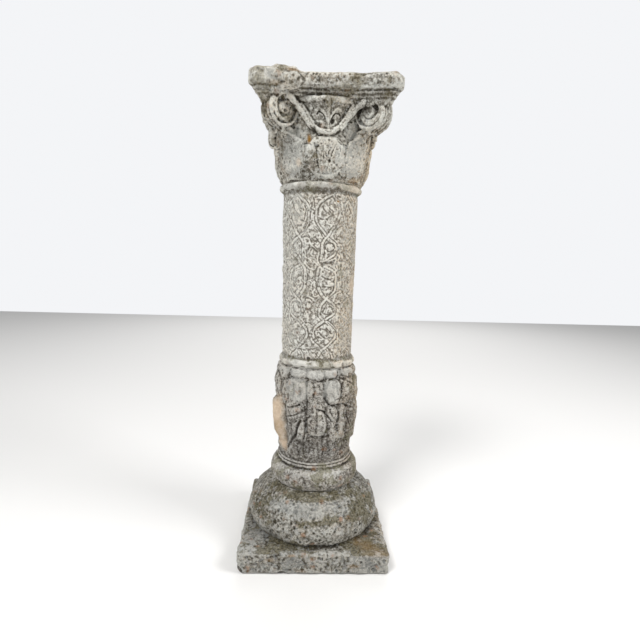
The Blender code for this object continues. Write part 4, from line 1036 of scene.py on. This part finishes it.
def plinthShape():
    bm = bmesh.new()
    bmesh.ops.create_cube(bm, size=1.0)
    bmesh.ops.scale(bm, verts=bm.verts, vec=(plinth["side"], plinth["side"], plinth["height"]))
    bmesh.ops.translate(bm, verts=bm.verts, vec=(0.0, 0.0, plinth["height"] / 2))
    bmesh.ops.bevel(
        bm, geom=bm.edges[:], offset=plinth["bevel"], segments=3, profile=0.5, affect="EDGES", material=-1
    )
    block = intoMesh(bm, bpy.data.meshes.new("plinthBaseStone"))
    ring = spunBlock("ring", plinth["moulding"][0][0], baseHigh.z, *plinth["steps"])
    angle, height, _ = polar(getPoints(ring))
    setPoints(ring, onColumn(angle, height, readCurve(plinth["moulding"], height)))
    return joined("plinthBaseStone", [block, ring])


def buildPlinth():
    piece = addObject("plinthBaseStone", plinthShape())
    fuse(piece, plinth["grain"])
    mesh = piece.data
    points, normals = getPoints(mesh), getNormals(mesh)
    free = between(0.001, 0.005, baseHigh.z - 0.0022, baseHigh.z - 0.0006, points[:, 2])
    wear = layered(points, plinth["wear"])
    crags = np.minimum(0, clouds(points, 0.020, 2.0) + 0.05) * 0.0022
    onBlock = 1 - smooth(0.044, 0.054, points[:, 2])
    points += normals * (free * (wear + crags * (0.35 + 0.65 * onBlock)))[:, None]
    points = pressed(points, plinth["chips"])
    # both ends stay flat, and nothing goes past the solid's box
    top = points[:, 2] > baseHigh.z - 0.0012
    points[top, 2] = baseHigh.z
    points[:, 2] = np.clip(points[:, 2], 0.0, baseHigh.z)
    points[points[:, 2] < 0.0009, 2] = 0.0
    limit = cadBox[1][0] - plinth["clearance"]
    points[:, :2] = np.clip(points[:, :2], -limit, limit)
    setPoints(mesh, points)
    pitted(mesh, 0.003, baseHigh.z - 0.003, **plinth["pits"])
    trim(piece, plinth["triangles"])
    mesh = piece.data
    _, angle, height, cloud = surveyed(mesh, 0.05)
    right = between(20, 60, 120, 160, angle)
    growth = 0.5 * (peak(0.052, 0.010, height) + smooth(0.128, 0.143, height)) + 0.3 * cloud
    growth += patch(angle, height, plinth["mossSpots"]) - patch(angle, height, plinth["cleanSpots"])
    low = 1 - smooth(0.002, 0.010, height)
    addMasks(
        mesh, plinth["maskMost"],
        warm=0.8 * (0.25 + 0.75 * right * smooth(0.055, 0.045, height) + 0.3 * cloud),
        moss=growth,
        bare=0 * height,
        ochre=patch(angle, height, plinth["ochreSpots"]) * (0.6 + 0.6 * cloud).clip(0, 1),
        # painted shadow along the bottom, where the block stands on the floor, and painted shade in the
        # corner where the block's top meets the moulding
        soot=0.7 * low + 0.45 * peak(0.051, 0.004, height) * (1 + cloud),
        crusted=0.45 + 0.35 * cloud + patch(angle, height, plinth["crustSpots"]),
    )
    mesh.materials.append(stoneFinish("mossyStone", {
        **stoneLook, "dark": (72, 68, 59), "middle": (134, 131, 122), "light": (190, 188, 180),
        "dirtAndShade": (48, 43, 34), "pale": (186, 189, 187), "mossDark": (64, 59, 42), "mossLight": (114, 107, 82),
        "broadScale": 12.0, "grainScale": 140.0, "mottleScale": 280.0, "mossScale": 30.0, "crustScale": 150.0,
        "hollowDirtAndShade": 0.7, "hollowLow": 0.4, "edgePale": 0.034, "crust": 0.35, "moss": 0.75,
        "levelMoss": 0.0, "proud": 3.0, "blots": 0.4, "rust": 0.6,
    }))
    return piece


# Capital: a bell with a shield leaf on each side, ribbons up over the corner scrolls, and the slab

capital = {
    "turn": 1.6, "shift": 0.002, "grain": 0.00155, "triangles": 194000,
    "cutRadius": 0.09, "reliefRadius": 0.092, "bellFoot": 0.7290,
    "bellSteps": (420, 100), "scrollSteps": (96, 20), "slabSteps": (480, 40),
    "bell": [
        (0.7333, 0.0730), (0.7410, 0.0755), (0.7480, 0.0790), (0.7560, 0.0815), (0.7660, 0.0840),
        (0.7810, 0.0852), (0.8000, 0.0865), (0.8150, 0.0885), (0.8300, 0.0920), (0.8420, 0.0965),
        (0.8455, 0.0985), (0.8475, 0.1040), (0.8530, 0.1050), (0.8555, 0.1000), (0.8600, 0.0980),
    ],
    "leafRise": 3.2, "panelRise": 3.4, "ribbonRise": 4.4, "ribbonHalf": 4.0, "ribbonRadius": 0.0050,
    "ribbonArm": (14, 43, 30),  # from and to, in degrees off the middle, and how many points
    "ribbon": [
        (0, 0.8015), (7, 0.8030), (12, 0.8080), (17, 0.8170), (22, 0.8290), (27, 0.8415),
        (32, 0.8530), (37, 0.8595), (43, 0.8605),
    ],
    # the shield leaf's outline: height, and half its breadth in degrees
    "leafBreadth": [
        (0.7370, 2.0), (0.7400, 10.5), (0.7450, 15.0), (0.7520, 19.0), (0.7600, 21.5), (0.7680, 23.2),
        (0.7760, 24.2), (0.7840, 23.0), (0.7890, 20.5), (0.7930, 17.0), (0.7970, 12.5), (0.7995, 6.0),
    ],
    "slab": [
        (0.8430, 0.0290), (0.8490, 0.0205), (0.8512, 0.0190), (0.8524, 0.0222), (0.8538, 0.0150),
        (0.8556, 0.0136), (0.8572, 0.0172), (0.8586, 0.0100), (0.8606, 0.0082), (0.8622, 0.0122),
        (0.8638, 0.0030), (0.8680, 0.0000), (0.8790, 0.0010), (0.8850, 0.0045), (0.8870, 0.0095),
    ],
    "slabHalf": 0.1268, "slabSag": 0.016, "slabChamfer": 0.018,
    "scrollRadius": 0.0262, "scrollThickness": 0.026, "scrollReach": 0.1135, "scrollHeight": 0.8365,
    "scrollTaper": 0.85, "spiralStep": 0.0150, "spiralDepth": 0.0056, "spiralStart": 0.0040,
    "spiralLane": (0.10, 0.36, 0.56, 0.84), "spiralReach": (0.0074, 0.0100, 0.0205, 0.0225),
    "leafThickness": 0.010, "leafHalf": 20,
    "cornerLeaf": [
        (0.00, 0.0725, 0.738), (0.20, 0.0800, 0.758), (0.45, 0.0838, 0.782), (0.65, 0.0880, 0.799),
        (0.80, 0.0970, 0.811), (0.92, 0.1070, 0.816), (1.00, 0.1150, 0.812),
    ],
    "lump": ((-0.0650, -0.1040, 0.8755), (0.0330, 0.0175, 0.0165)),
    "slabChips": [
        ((0.130, -0.124, 0.901), 0.026), ((-0.016, -0.124, 0.880), 0.018), ((0.012, -0.122, 0.893), 0.013),
    ],
    "chips": [
        ((-0.133, -0.126, 0.840), 0.024), ((-0.150, 0.135, 0.868), 0.054), ((-0.122, 0.116, 0.822), 0.032),
        ((-0.108, -0.098, 0.806), 0.020), ((0.128, 0.002, 0.822), 0.031),
    ],
    "wear": [(0.0009, 0.030, 0), (0.0006, 0.010, 4), (0.0003, 0.0042, 7)],
    "pits": {"count": 1400, "smallest": 0.0016, "largest": 0.0048, "depth": 0.0020, "seed": 14},
    "maskMost": {"moss": 1.3, "crusted": 1.2},
    "bareSpots": [(-29, 762, 3.5, 7, 0.45)],
    "ochreSpots": [
        (-16, 796, 2.6, 7, 0.9), (-24, 884, 4, 3, 0.35), (-34, 866, 3, 3, 0.25), (45, 738, 8, 4, 0.4),
    ],
    "crustSpots": [
        (-16, 780, 7, 12, 1.1), (19, 772, 6, 16, 1.1), (2, 746, 13, 5, 1.0), (-30, 798, 12, 20, 0.9),
        (-38, 768, 16, 26, 1.2), (40, 770, 18, 34, 0.9), (32, 806, 9, 16, 0.7), (2, 741, 16, 3.5, 1.1),
        (38, 818, 8, 14, 0.6), (-42, 874, 14, 12, 0.8), (30, 868, 22, 8, 0.4), (-36, 858, 8, 4, 0.6),
    ],
}
# each cut and each ridge: half width, depth or rise, line
bellCuts = {
    "leafFoldLeft": (1.4, 1.6, [(-11, 790), (-8.5, 776), (-7.5, 762), (-5.0, 749)]),
    "leafFoldRight": (1.3, 1.4, [(12.0, 788), (8.5, 776), (6.0, 764), (3.0, 750)]),
    "midribLeft": (0.9, 1.3, [(-1.5, 786), (-1.0, 778), (-0.5, 766)]),
    "midribRight": (0.9, 1.4, [(8, 784), (5, 778), (4, 771)]),
    "lobeLeft": (1.2, 1.8, [(-25, 788), (-20.5, 790), (-17, 789), (-14, 786)]),
    "lobeRight": (1.1, 1.6, [(25, 790), (20, 789), (16, 791), (13, 796)]),
    "leafVeinLeft": (0.8, 1.0, [(-15, 783), (-12, 774), (-11, 765)]),
    "leafVeinRight": (0.8, 1.0, [(18, 784), (17, 775), (15, 768)]),
    "notch": (1.1, 1.8, [(0.5, 806.5), (3.5, 805), (6.0, 806)]),
    "stemSide": (0.8, 1.3, [(4.6, 822), (4.7, 812)]),
    "tendrilLeftUnder": (1.2, 2.0, [(0, 824), (-1.5, 829), (-4, 832), (-7, 833), (-8.4, 830)]),
    "tendrilRightUnder": (1.2, 2.0, [(6, 824), (7.8, 829), (10, 832), (13, 832), (14.4, 829)]),
}
bellRidges = {
    "stem": (1.9, 2.0, [(3.2, 848), (3.0, 836), (3.0, 822), (3.2, 811)]),
    "leafRim": (1.9, 1.5, [
        (-24, 782), (-22.5, 766), (-18, 753), (-10, 744), (2, 740.5), (13, 744), (21, 753),
        (25.5, 766), (27, 780),
    ]),
    "tendrilLeft": (1.7, 2.0, [(2.4, 820), (0, 828), (-2.5, 834), (-6, 837), (-9, 835)]),
    "tendrilRight": (1.7, 2.0, [(3.8, 820), (6, 828), (8.5, 834), (12, 837), (15, 835)]),
}
# bosses and holes: angle, height, half width, half height, rise or depth
bellBosses = [
    (-5, 818, 5.5, 5.5, 1.6), (11, 818, 5.0, 5.5, 1.5), (-16, 779, 6.0, 11.0, 1.8), (19, 777, 5.5, 12.0, 1.8),
    (2, 756, 10.0, 12.0, 1.4),
]
bellHoles = [
    (-7.5, 786, 1.9, 2.0, 2.4), (14, 758, 1.4, 1.8, 1.3), (36, 796, 1.4, 1.6, 1.6), (29, 824, 2.4, 1.0, 1.2),
]
# painted shade under the scrolls, under the slab's band and round the bell's foot, and dark stains on the
# slab: angle, height, half width, half height, strength
capitalShadeAndStains = [
    (-47, 833, 7, 7, 0.9), (58, 832, 8, 6, 0.9), (-56, 822, 11, 5, 0.85), (58, 816, 9, 5, 0.85),
    (-22, 758, 9, 12, 0.45), (-30, 744, 22, 5, 0.6), (30, 741, 20, 4, 0.5), (-2, 842, 22, 3, 0.5),
    (6, 871, 9, 12, 0.55), (24, 884, 10, 4, 0.6), (-14, 868, 8, 9, 0.5), (44, 862, 6, 14, 0.5),
    (-24, 877, 6, 9, 0.4), (16, 858, 16, 3, 0.6), (3, 819, 1.4, 12, 0.4), (-30, 745, 18, 9, 0.8),
    (34, 744, 18, 8, 0.7), (-50, 812, 12, 6, 0.8), (54, 810, 12, 5, 0.7), (-7, 770, 2.6, 14, 0.3),
    (8, 772, 2.4, 12, 0.25), (-12, 862, 5, 10, 0.8),
    (10, 870, 26, 12, 0.75), (-2, 733, 90, 3, 0.5), (-62, 836, 14, 18, 0.7),
]


def bellRelief(angle, height):
    side = wrapped(angle - capital["turn"], 90.0)
    off = np.abs(side)
    breadth = readCurve(capital["leafBreadth"], height)
    within = between(0.7362, 0.7385, 0.7990, 0.8010, height)
    dome = np.clip(1 - (off / np.maximum(breadth, 1)) ** 2, 0, 1) ** 0.25
    curl = 0.8 + 0.35 * smooth(0.775, 0.795, height)
    leaf = capital["leafRise"] / 1000 * (1 - smooth(0.90, 1.02, off / breadth)) * dome * curl * within
    # how far above the ribbon's line, in millimetres at right angles to it
    above = height - readCurve(capital["ribbon"], off)
    steps = np.arange(0, 46, 0.5)
    slope = np.gradient(np.interp(steps, *np.array(capital["ribbon"]).T)) / 0.5
    steep = np.interp(off, steps, slope) / (math.radians(1) * capital["reliefRadius"])
    across = above / np.hypot(1, steep) * 1000
    lip = 1 - smooth(0.8440, 0.8470, height)
    panel = capital["panelRise"] / 1000 * smooth(-0.2, 0.6, across) * lip
    half = capital["ribbonHalf"]
    rim = capital["ribbonRise"] / 1000 * np.clip(1 - ((across - half) / half) ** 4, 0, 1) * lip
    under = 0.0034 * peak(-1.3, 1.3, across) * lip * (off < 40)
    under += 0.0008 * peak(1.05, 0.06, off / breadth) * within
    inner = 0.0018 * peak(1.0, 1.3, across - 2 * half) * lip
    rise = np.maximum(leaf, panel + np.maximum(rim, 0)) - under - inner
    around = side + capital["turn"]
    for halfWidth, top, line in bellRidges.values():
        far = farFromLine(around, height, line, capital["reliefRadius"], 90.0, 0.004) * 1000 / halfWidth
        rise += top / 1000 * np.sqrt(np.clip(1 - far * far, 0, 1))
    for *oval, top in bellBosses:
        far = ovalShare(angle, height, oval, 90.0)
        rise += top / 1000 * np.clip(1 - far * far, 0, 1)
    return rise


def bellMesh():
    mesh = spunBlock("bell", capital["bellFoot"], capital["bell"][-1][0], *capital["bellSteps"])
    angle, height, _ = polar(getPoints(mesh))
    radius = readCurve(capital["bell"], height) + bellRelief(angle, height)
    setPoints(mesh, onColumn(angle, height, radius))
    return mesh


def scrollPlace(corner):
    # a corner scroll's eye, its axis, and the way outward
    turn = math.radians(corner)
    outward = Vector((math.sin(turn), -math.cos(turn), 0))
    axis = Vector((math.cos(turn), math.sin(turn), 0))
    eye = outward * capital["scrollReach"] + Vector((0, 0, capital["scrollHeight"]))
    return eye, axis, outward


def scrollMesh(corner):
    # a round on its side, thicker towards the bell
    half = capital["scrollThickness"] / 2
    mesh = spunBlock("scroll", -half, half, *capital["scrollSteps"])
    points = getPoints(mesh)
    along, wide = points[:, 2].copy(), capital["scrollRadius"]
    rounded = np.sqrt(np.clip(1 - np.clip((np.abs(along) - half + 0.004) / 0.004, 0, 1) ** 2, 0, 1))
    waist = 1 - 0.05 * np.cos(along / half * math.pi / 2)
    radius = (wide - 0.003 + 0.003 * rounded) * waist
    out, up = points[:, 0] * radius, points[:, 1] * radius
    along *= 1 + capital["scrollTaper"] * (wide - out) / (2 * wide)
    eye, axis, outward = scrollPlace(corner)
    placed = np.array(eye) + np.outer(out, outward) + np.outer(along, axis)
    placed[:, 2] += up
    setPoints(mesh, placed)
    return sealed(mesh)


def carveScroll(points, corner):
    # the spiral channel on both faces, with a round eye, and shallow grooves round the roll
    eye, axis, outward = (np.array(part) for part in scrollPlace(corner))
    away = points - eye
    along, out, up = away @ axis, away @ outward, away[:, 2]
    far = np.hypot(out, up)
    wide = capital["scrollRadius"]
    thick = capital["scrollThickness"] / 2 * (1 + capital["scrollTaper"] * (wide - out) / (2 * wide))
    face = smooth(0.45, 0.8, np.abs(along) / thick) * (np.abs(along) < thick + 0.004)
    around = (np.arctan2(up, out) / math.tau) % 1.0
    step = capital["spiralStep"]
    lane = ((far - capital["spiralStart"] - step * around) / step) % 1.0
    channel = between(*capital["spiralLane"], lane) * between(*capital["spiralReach"], far)
    channel *= 0.8 + 0.4 * clouds(points, 0.012, 3.0)
    points -= np.outer(np.sign(along) * face * capital["spiralDepth"] * channel * (far < 0.03), axis)
    roll = (far > 0.021) & (far < 0.031) & (np.abs(along) < 0.8 * thick)
    groove = 0.0012 * (peak(0.007, 0.0011, np.abs(along)) + peak(0, 0.0011, along))
    direction = (np.outer(out, outward) + np.outer(up, (0, 0, 1))) / np.maximum(far, 1e-6)[:, None]
    points -= direction * (groove * roll)[:, None]
    return points


def cornerLeafMesh(corner):
    # a tall leaf on the corner with ribs, its tip bent outward under the scroll
    bm = bmesh.new()
    bmesh.ops.create_grid(bm, x_segments=30, y_segments=60, size=1.0)
    mesh = intoMesh(bm, bpy.data.meshes.new("cornerLeaf"))
    points = getPoints(mesh)
    across, share = points[:, 0], (points[:, 1] + 1) / 2
    narrowing = (1 - 0.72 * smooth(0.50, 0.9, share)) * (0.7 + 0.3 * smooth(0, 0.3, share))
    ripple = 1 + 0.03 * np.cos(share * 5 * math.tau)
    path = np.array(capital["cornerLeaf"])
    ribs = 0.0002 * np.cos(across * 1.5 * math.tau) * (1 - smooth(0.7, 1.0, share))
    radius = readCurve(path[:, (0, 1)], share) + 0.0018 * np.cos(across * math.pi) + ribs
    height = readCurve(path[:, (0, 2)], share) - 0.006 * across ** 2 * smooth(0.6, 1.0, share)
    setPoints(mesh, onColumn(corner + across * capital["leafHalf"] * narrowing * ripple, height, radius))
    piece = addObject("cornerLeaf", mesh)
    wall = piece.modifiers.new("thickness", "SOLIDIFY")
    wall.thickness = capital["leafThickness"]
    wall.offset = 0.0
    applied(piece)
    mesh = piece.data
    bpy.data.objects.remove(piece, do_unlink=True)
    return sealed(mesh)


def ribbonMesh(middle, hand):
    # the arm of the ribbon that leaves the bell and runs on over the scroll's crest
    curve = bpy.data.curves.new("ribbon", "CURVE")
    curve.dimensions = "3D"
    curve.bevel_depth = capital["ribbonRadius"]
    curve.bevel_resolution = 4
    curve.use_fill_caps = True
    spline = curve.splines.new("POLY")
    offs = np.linspace(*capital["ribbonArm"])
    spline.points.add(len(offs) - 1)
    levels = readCurve(capital["ribbon"], offs)
    reach = readCurve(capital["bell"], levels) + 0.0050 + 0.0105 * smooth(20, 42, offs)
    for point, place in zip(spline.points, onColumn(middle + hand * offs, levels, reach).tolist()):
        point.co = (*place, 1.0)
    source = addObject("ribbon", curve)
    mesh = meshAsSeen(source)
    bpy.data.objects.remove(source, do_unlink=True)
    return mesh


def slabMesh():
    # a square with sagging sides and cut corners, stepped by its profile
    mesh = spunBlock("slab", capital["slab"][0][0], capital["slab"][-1][0], *capital["slabSteps"])
    angle, height, _ = polar(getPoints(mesh))
    off = np.radians(np.abs(wrapped(angle, 90.0)))
    half = capital["slabHalf"]
    reach = np.full(len(off), half)
    for _ in range(8):
        sideways = reach * np.sin(off)
        sag = capital["slabSag"] * (1 - (sideways / half) ** 2)
        reach = (half - sag) / np.cos(off)
    corner = (2 * half - capital["slabChamfer"]) / math.sqrt(2)
    reach = np.minimum(reach, corner / np.cos(math.pi / 4 - off))
    points = onColumn(angle, height, reach - readCurve(capital["slab"], height))
    setPoints(mesh, pressed(points, capital["slabChips"]))
    return mesh


def lumpMesh():
    # the shapeless crust left on the slab's front edge
    middle, half = (np.array(part) for part in capital["lump"])
    bm = bmesh.new()
    bmesh.ops.create_icosphere(bm, subdivisions=5, radius=1.0)
    mesh = intoMesh(bm, bpy.data.meshes.new("lump"))
    points = getPoints(mesh)
    swell = 1 + 0.22 * clouds(points, 0.77) + 0.10 * clouds(points, 0.3, 4.0)
    setPoints(mesh, middle + points * swell[:, None] * half)
    return mesh


def capitalShape():
    # all forms as one skin, with the spirals and the bell's cuts in it
    turn = capital["turn"]
    shapes = [bellMesh()]
    for side in (0, 90, 180, 270):
        corner = side + 45 + turn
        shapes += [cornerLeafMesh(corner), scrollMesh(corner)]
        shapes += [ribbonMesh(side + turn, hand) for hand in (-1, 1)]
    shapes += [slabMesh(), lumpMesh()]
    piece = addObject("capitalStone", joined("capitalStone", shapes))
    fuse(piece, capital["grain"])
    points = getPoints(piece.data)
    for side in (0, 90, 180, 270):
        points = carveScroll(points, side + 45 + turn)
    angle, height, radius = polar(points)
    onBell = (1 - smooth(0.840, 0.845, height)) * (radius < readCurve(capital["bell"], height) + 0.016)
    cuts = carvedDepth(angle, height, bellCuts, bellHoles, capital["cutRadius"], 90.0)
    points = onColumn(angle, height, radius - cuts * onBell)
    points[:, 0] += capital["shift"]
    setPoints(piece.data, pressed(points, capital["chips"]))
    return piece


def buildCapital():
    piece = capitalShape()
    mesh = piece.data
    points, normals = getPoints(mesh), getNormals(mesh)
    height = points[:, 2]
    wear = layered(points, capital["wear"])
    slabPart = smooth(0.863, 0.868, height)
    wear *= 1 - 0.5 * smooth(0.846, 0.850, height) * (1 - slabPart)
    wear += slabPart * np.minimum(0, clouds(points, 0.021, 2.0) + 0.1) * 0.0045
    wear *= np.where(height > 0.8862, 0.25, 1.0)
    setPoints(mesh, points + normals * wear[:, None])
    # the underside is cut flat
    bm = bmesh.new()
    bm.from_mesh(mesh)
    bmesh.ops.bisect_plane(
        bm, geom=bm.verts[:] + bm.edges[:] + bm.faces[:], plane_co=(0, 0, capitalLow.z),
        plane_no=(0, 0, 1), clear_inner=True,
    )
    closeSkin(bm)
    intoMesh(bm, mesh)
    pitted(mesh, capitalLow.z + 0.003, 0.8855, **capital["pits"])
    trim(piece, capital["triangles"])
    mesh = piece.data
    setPoints(mesh, np.clip(getPoints(mesh), np.array(capitalLow), np.array(capitalHigh)))
    _, angle, height, cloud = surveyed(mesh, 0.05)
    right = between(22, 50, 120, 160, angle) * (1 - smooth(0.80, 0.83, height))
    slabPart = smooth(0.858, 0.864, height)
    bellPart = 1 - smooth(0.79, 0.83, height)
    addMasks(
        mesh, capital["maskMost"],
        warm=0.30 + 0.7 * right + 0.35 * cloud,
        moss=0.25 * slabPart + 0.35 * (1 - bellPart) + 0.4 * cloud - 0.5 * bellPart,
        bare=patch(angle, height, capital["bareSpots"]),
        crusted=0.35 + 0.3 * cloud + patch(angle, height, capital["crustSpots"]),
        ochre=patch(angle, height, capital["ochreSpots"]),
        # painted shade and stains from the table above
        soot=patch(angle, height, capitalShadeAndStains) * (0.85 + 0.3 * cloud),
    )
    mesh.materials.append(stoneFinish("capitalStone", {
        **stoneLook, "dark": (98, 94, 84), "middle": (164, 161, 152), "light": (224, 223, 215),
        "dirtAndShade": (42, 37, 30), "mossDark": (80, 72, 53), "mossLight": (128, 120, 95),
        "toneLow": 0.39, "hollowHigh": 2.8, "hollowLow": 0.5, "grooveDark": 0.085,
    }))
    return piece


# Pieces in place

builders = {
    "plinth_base": (buildPlinth, "mossy_stone"),
    "lower_drum": (buildDrum, "carved_grey_stone"),
    "shaft": (buildShaft, "pale_grey_stone"),
    "capital": (buildCapital, "capital_stone"),
}
for node, (build, slotName) in builders.items():
    piece = build()
    piece.data.shade_smooth()
    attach(piece, "root")
    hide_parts(node)
    print(piece.name, "built", len(piece.data.polygons), "faces")


# Floor, light and camera

studio = {
    "floor": 3.6, "floorColour": (0.93, 0.92, 0.90), "floorRoughness": 0.9,
    "sky": (0.95, 0.96, 0.98), "skyStrength": 0.36, "backdrop": 0.95,
    # each lamp: place, power, size
    "lamps": {
        "mainSoftbox": ((-1.0, -1.4, 2.7), 50, 0.8),
        "sideSoftbox": ((1.9, -0.8, 2.1), 34, 0.9),
        "backSoftbox": ((0.3, 3.0, 2.4), 44, 3.0),
    },
    "aim": (0, 0, 0.45),
}
view = {
    "eye": Vector((-0.0224, -0.8779, 0.607)),
    "forward": Vector((0.0335, 0.9653, -0.2588)),
    "roll": 1.6,
    "lens": 24.44,
    "shift": 0.0845,
}


def buildFloor():
    bm = bmesh.new()
    bmesh.ops.create_grid(bm, x_segments=2, y_segments=2, size=studio["floor"])
    mesh = intoMesh(bm, bpy.data.meshes.new("studioFloor"))
    paper = bpy.data.materials.new("palePaper")
    paper.use_nodes = True
    setInputs(paper.node_tree, paper.node_tree.nodes["Principled BSDF"], {
        "Base Color": (*studio["floorColour"], 1.0), "Roughness": studio["floorRoughness"],
    })
    mesh.materials.append(paper)
    addObject("studioFloor", mesh)


def buildLamps():
    for name, (place, power, size) in studio["lamps"].items():
        lamp = bpy.data.lights.new(name, "AREA")
        lamp.energy = power
        lamp.size = size
        holder = addObject(name, lamp)
        holder.location = place
        aim = Vector(studio["aim"]) - Vector(place)
        holder.rotation_euler = aim.to_track_quat("-Z", "Y").to_euler()


def buildSky():
    # the sky that the camera sees is brighter than the light it gives
    world = bpy.data.worlds.new("softSky")
    world.use_nodes = True
    tree = world.node_tree
    colour = (*studio["sky"], 1.0)
    light = tree.nodes["Background"]
    setInputs(tree, light, {"Color": colour, "Strength": studio["skyStrength"]})
    inputs = {"Color": colour, "Strength": studio["backdrop"]}
    backdrop = makeNode(tree, "ShaderNodeBackground", inputs)
    seen = makeNode(tree, "ShaderNodeLightPath", {})
    inputs = {
        "Fac": seen.outputs["Is Camera Ray"],
        1: light.outputs["Background"], 2: backdrop.outputs["Background"],
    }
    both = makeNode(tree, "ShaderNodeMixShader", inputs)
    setInputs(tree, tree.nodes["World Output"], {"Surface": both.outputs["Shader"]})
    bpy.context.scene.world = world
    bpy.context.scene.view_settings.view_transform = "Standard"


def buildCamera():
    forward = view["forward"].normalized()
    right = forward.cross(Vector((0, 0, 1))).normalized()
    up = right.cross(forward)
    roll = math.radians(view["roll"])
    across = right * math.cos(roll) + up * math.sin(roll)
    above = up * math.cos(roll) - right * math.sin(roll)
    camera = bpy.data.cameras.new("photoCamera")
    camera.lens = view["lens"]
    camera.shift_y = view["shift"]
    camera.clip_start = 0.01
    holder = addObject("photoCamera", camera)
    placed = Matrix((across, above, -forward)).transposed().to_4x4()
    placed.translation = view["eye"]
    holder.matrix_world = placed
    bpy.context.scene.camera = holder


buildFloor()
buildLamps()
buildSky()
buildCamera()
print("studio and camera set")
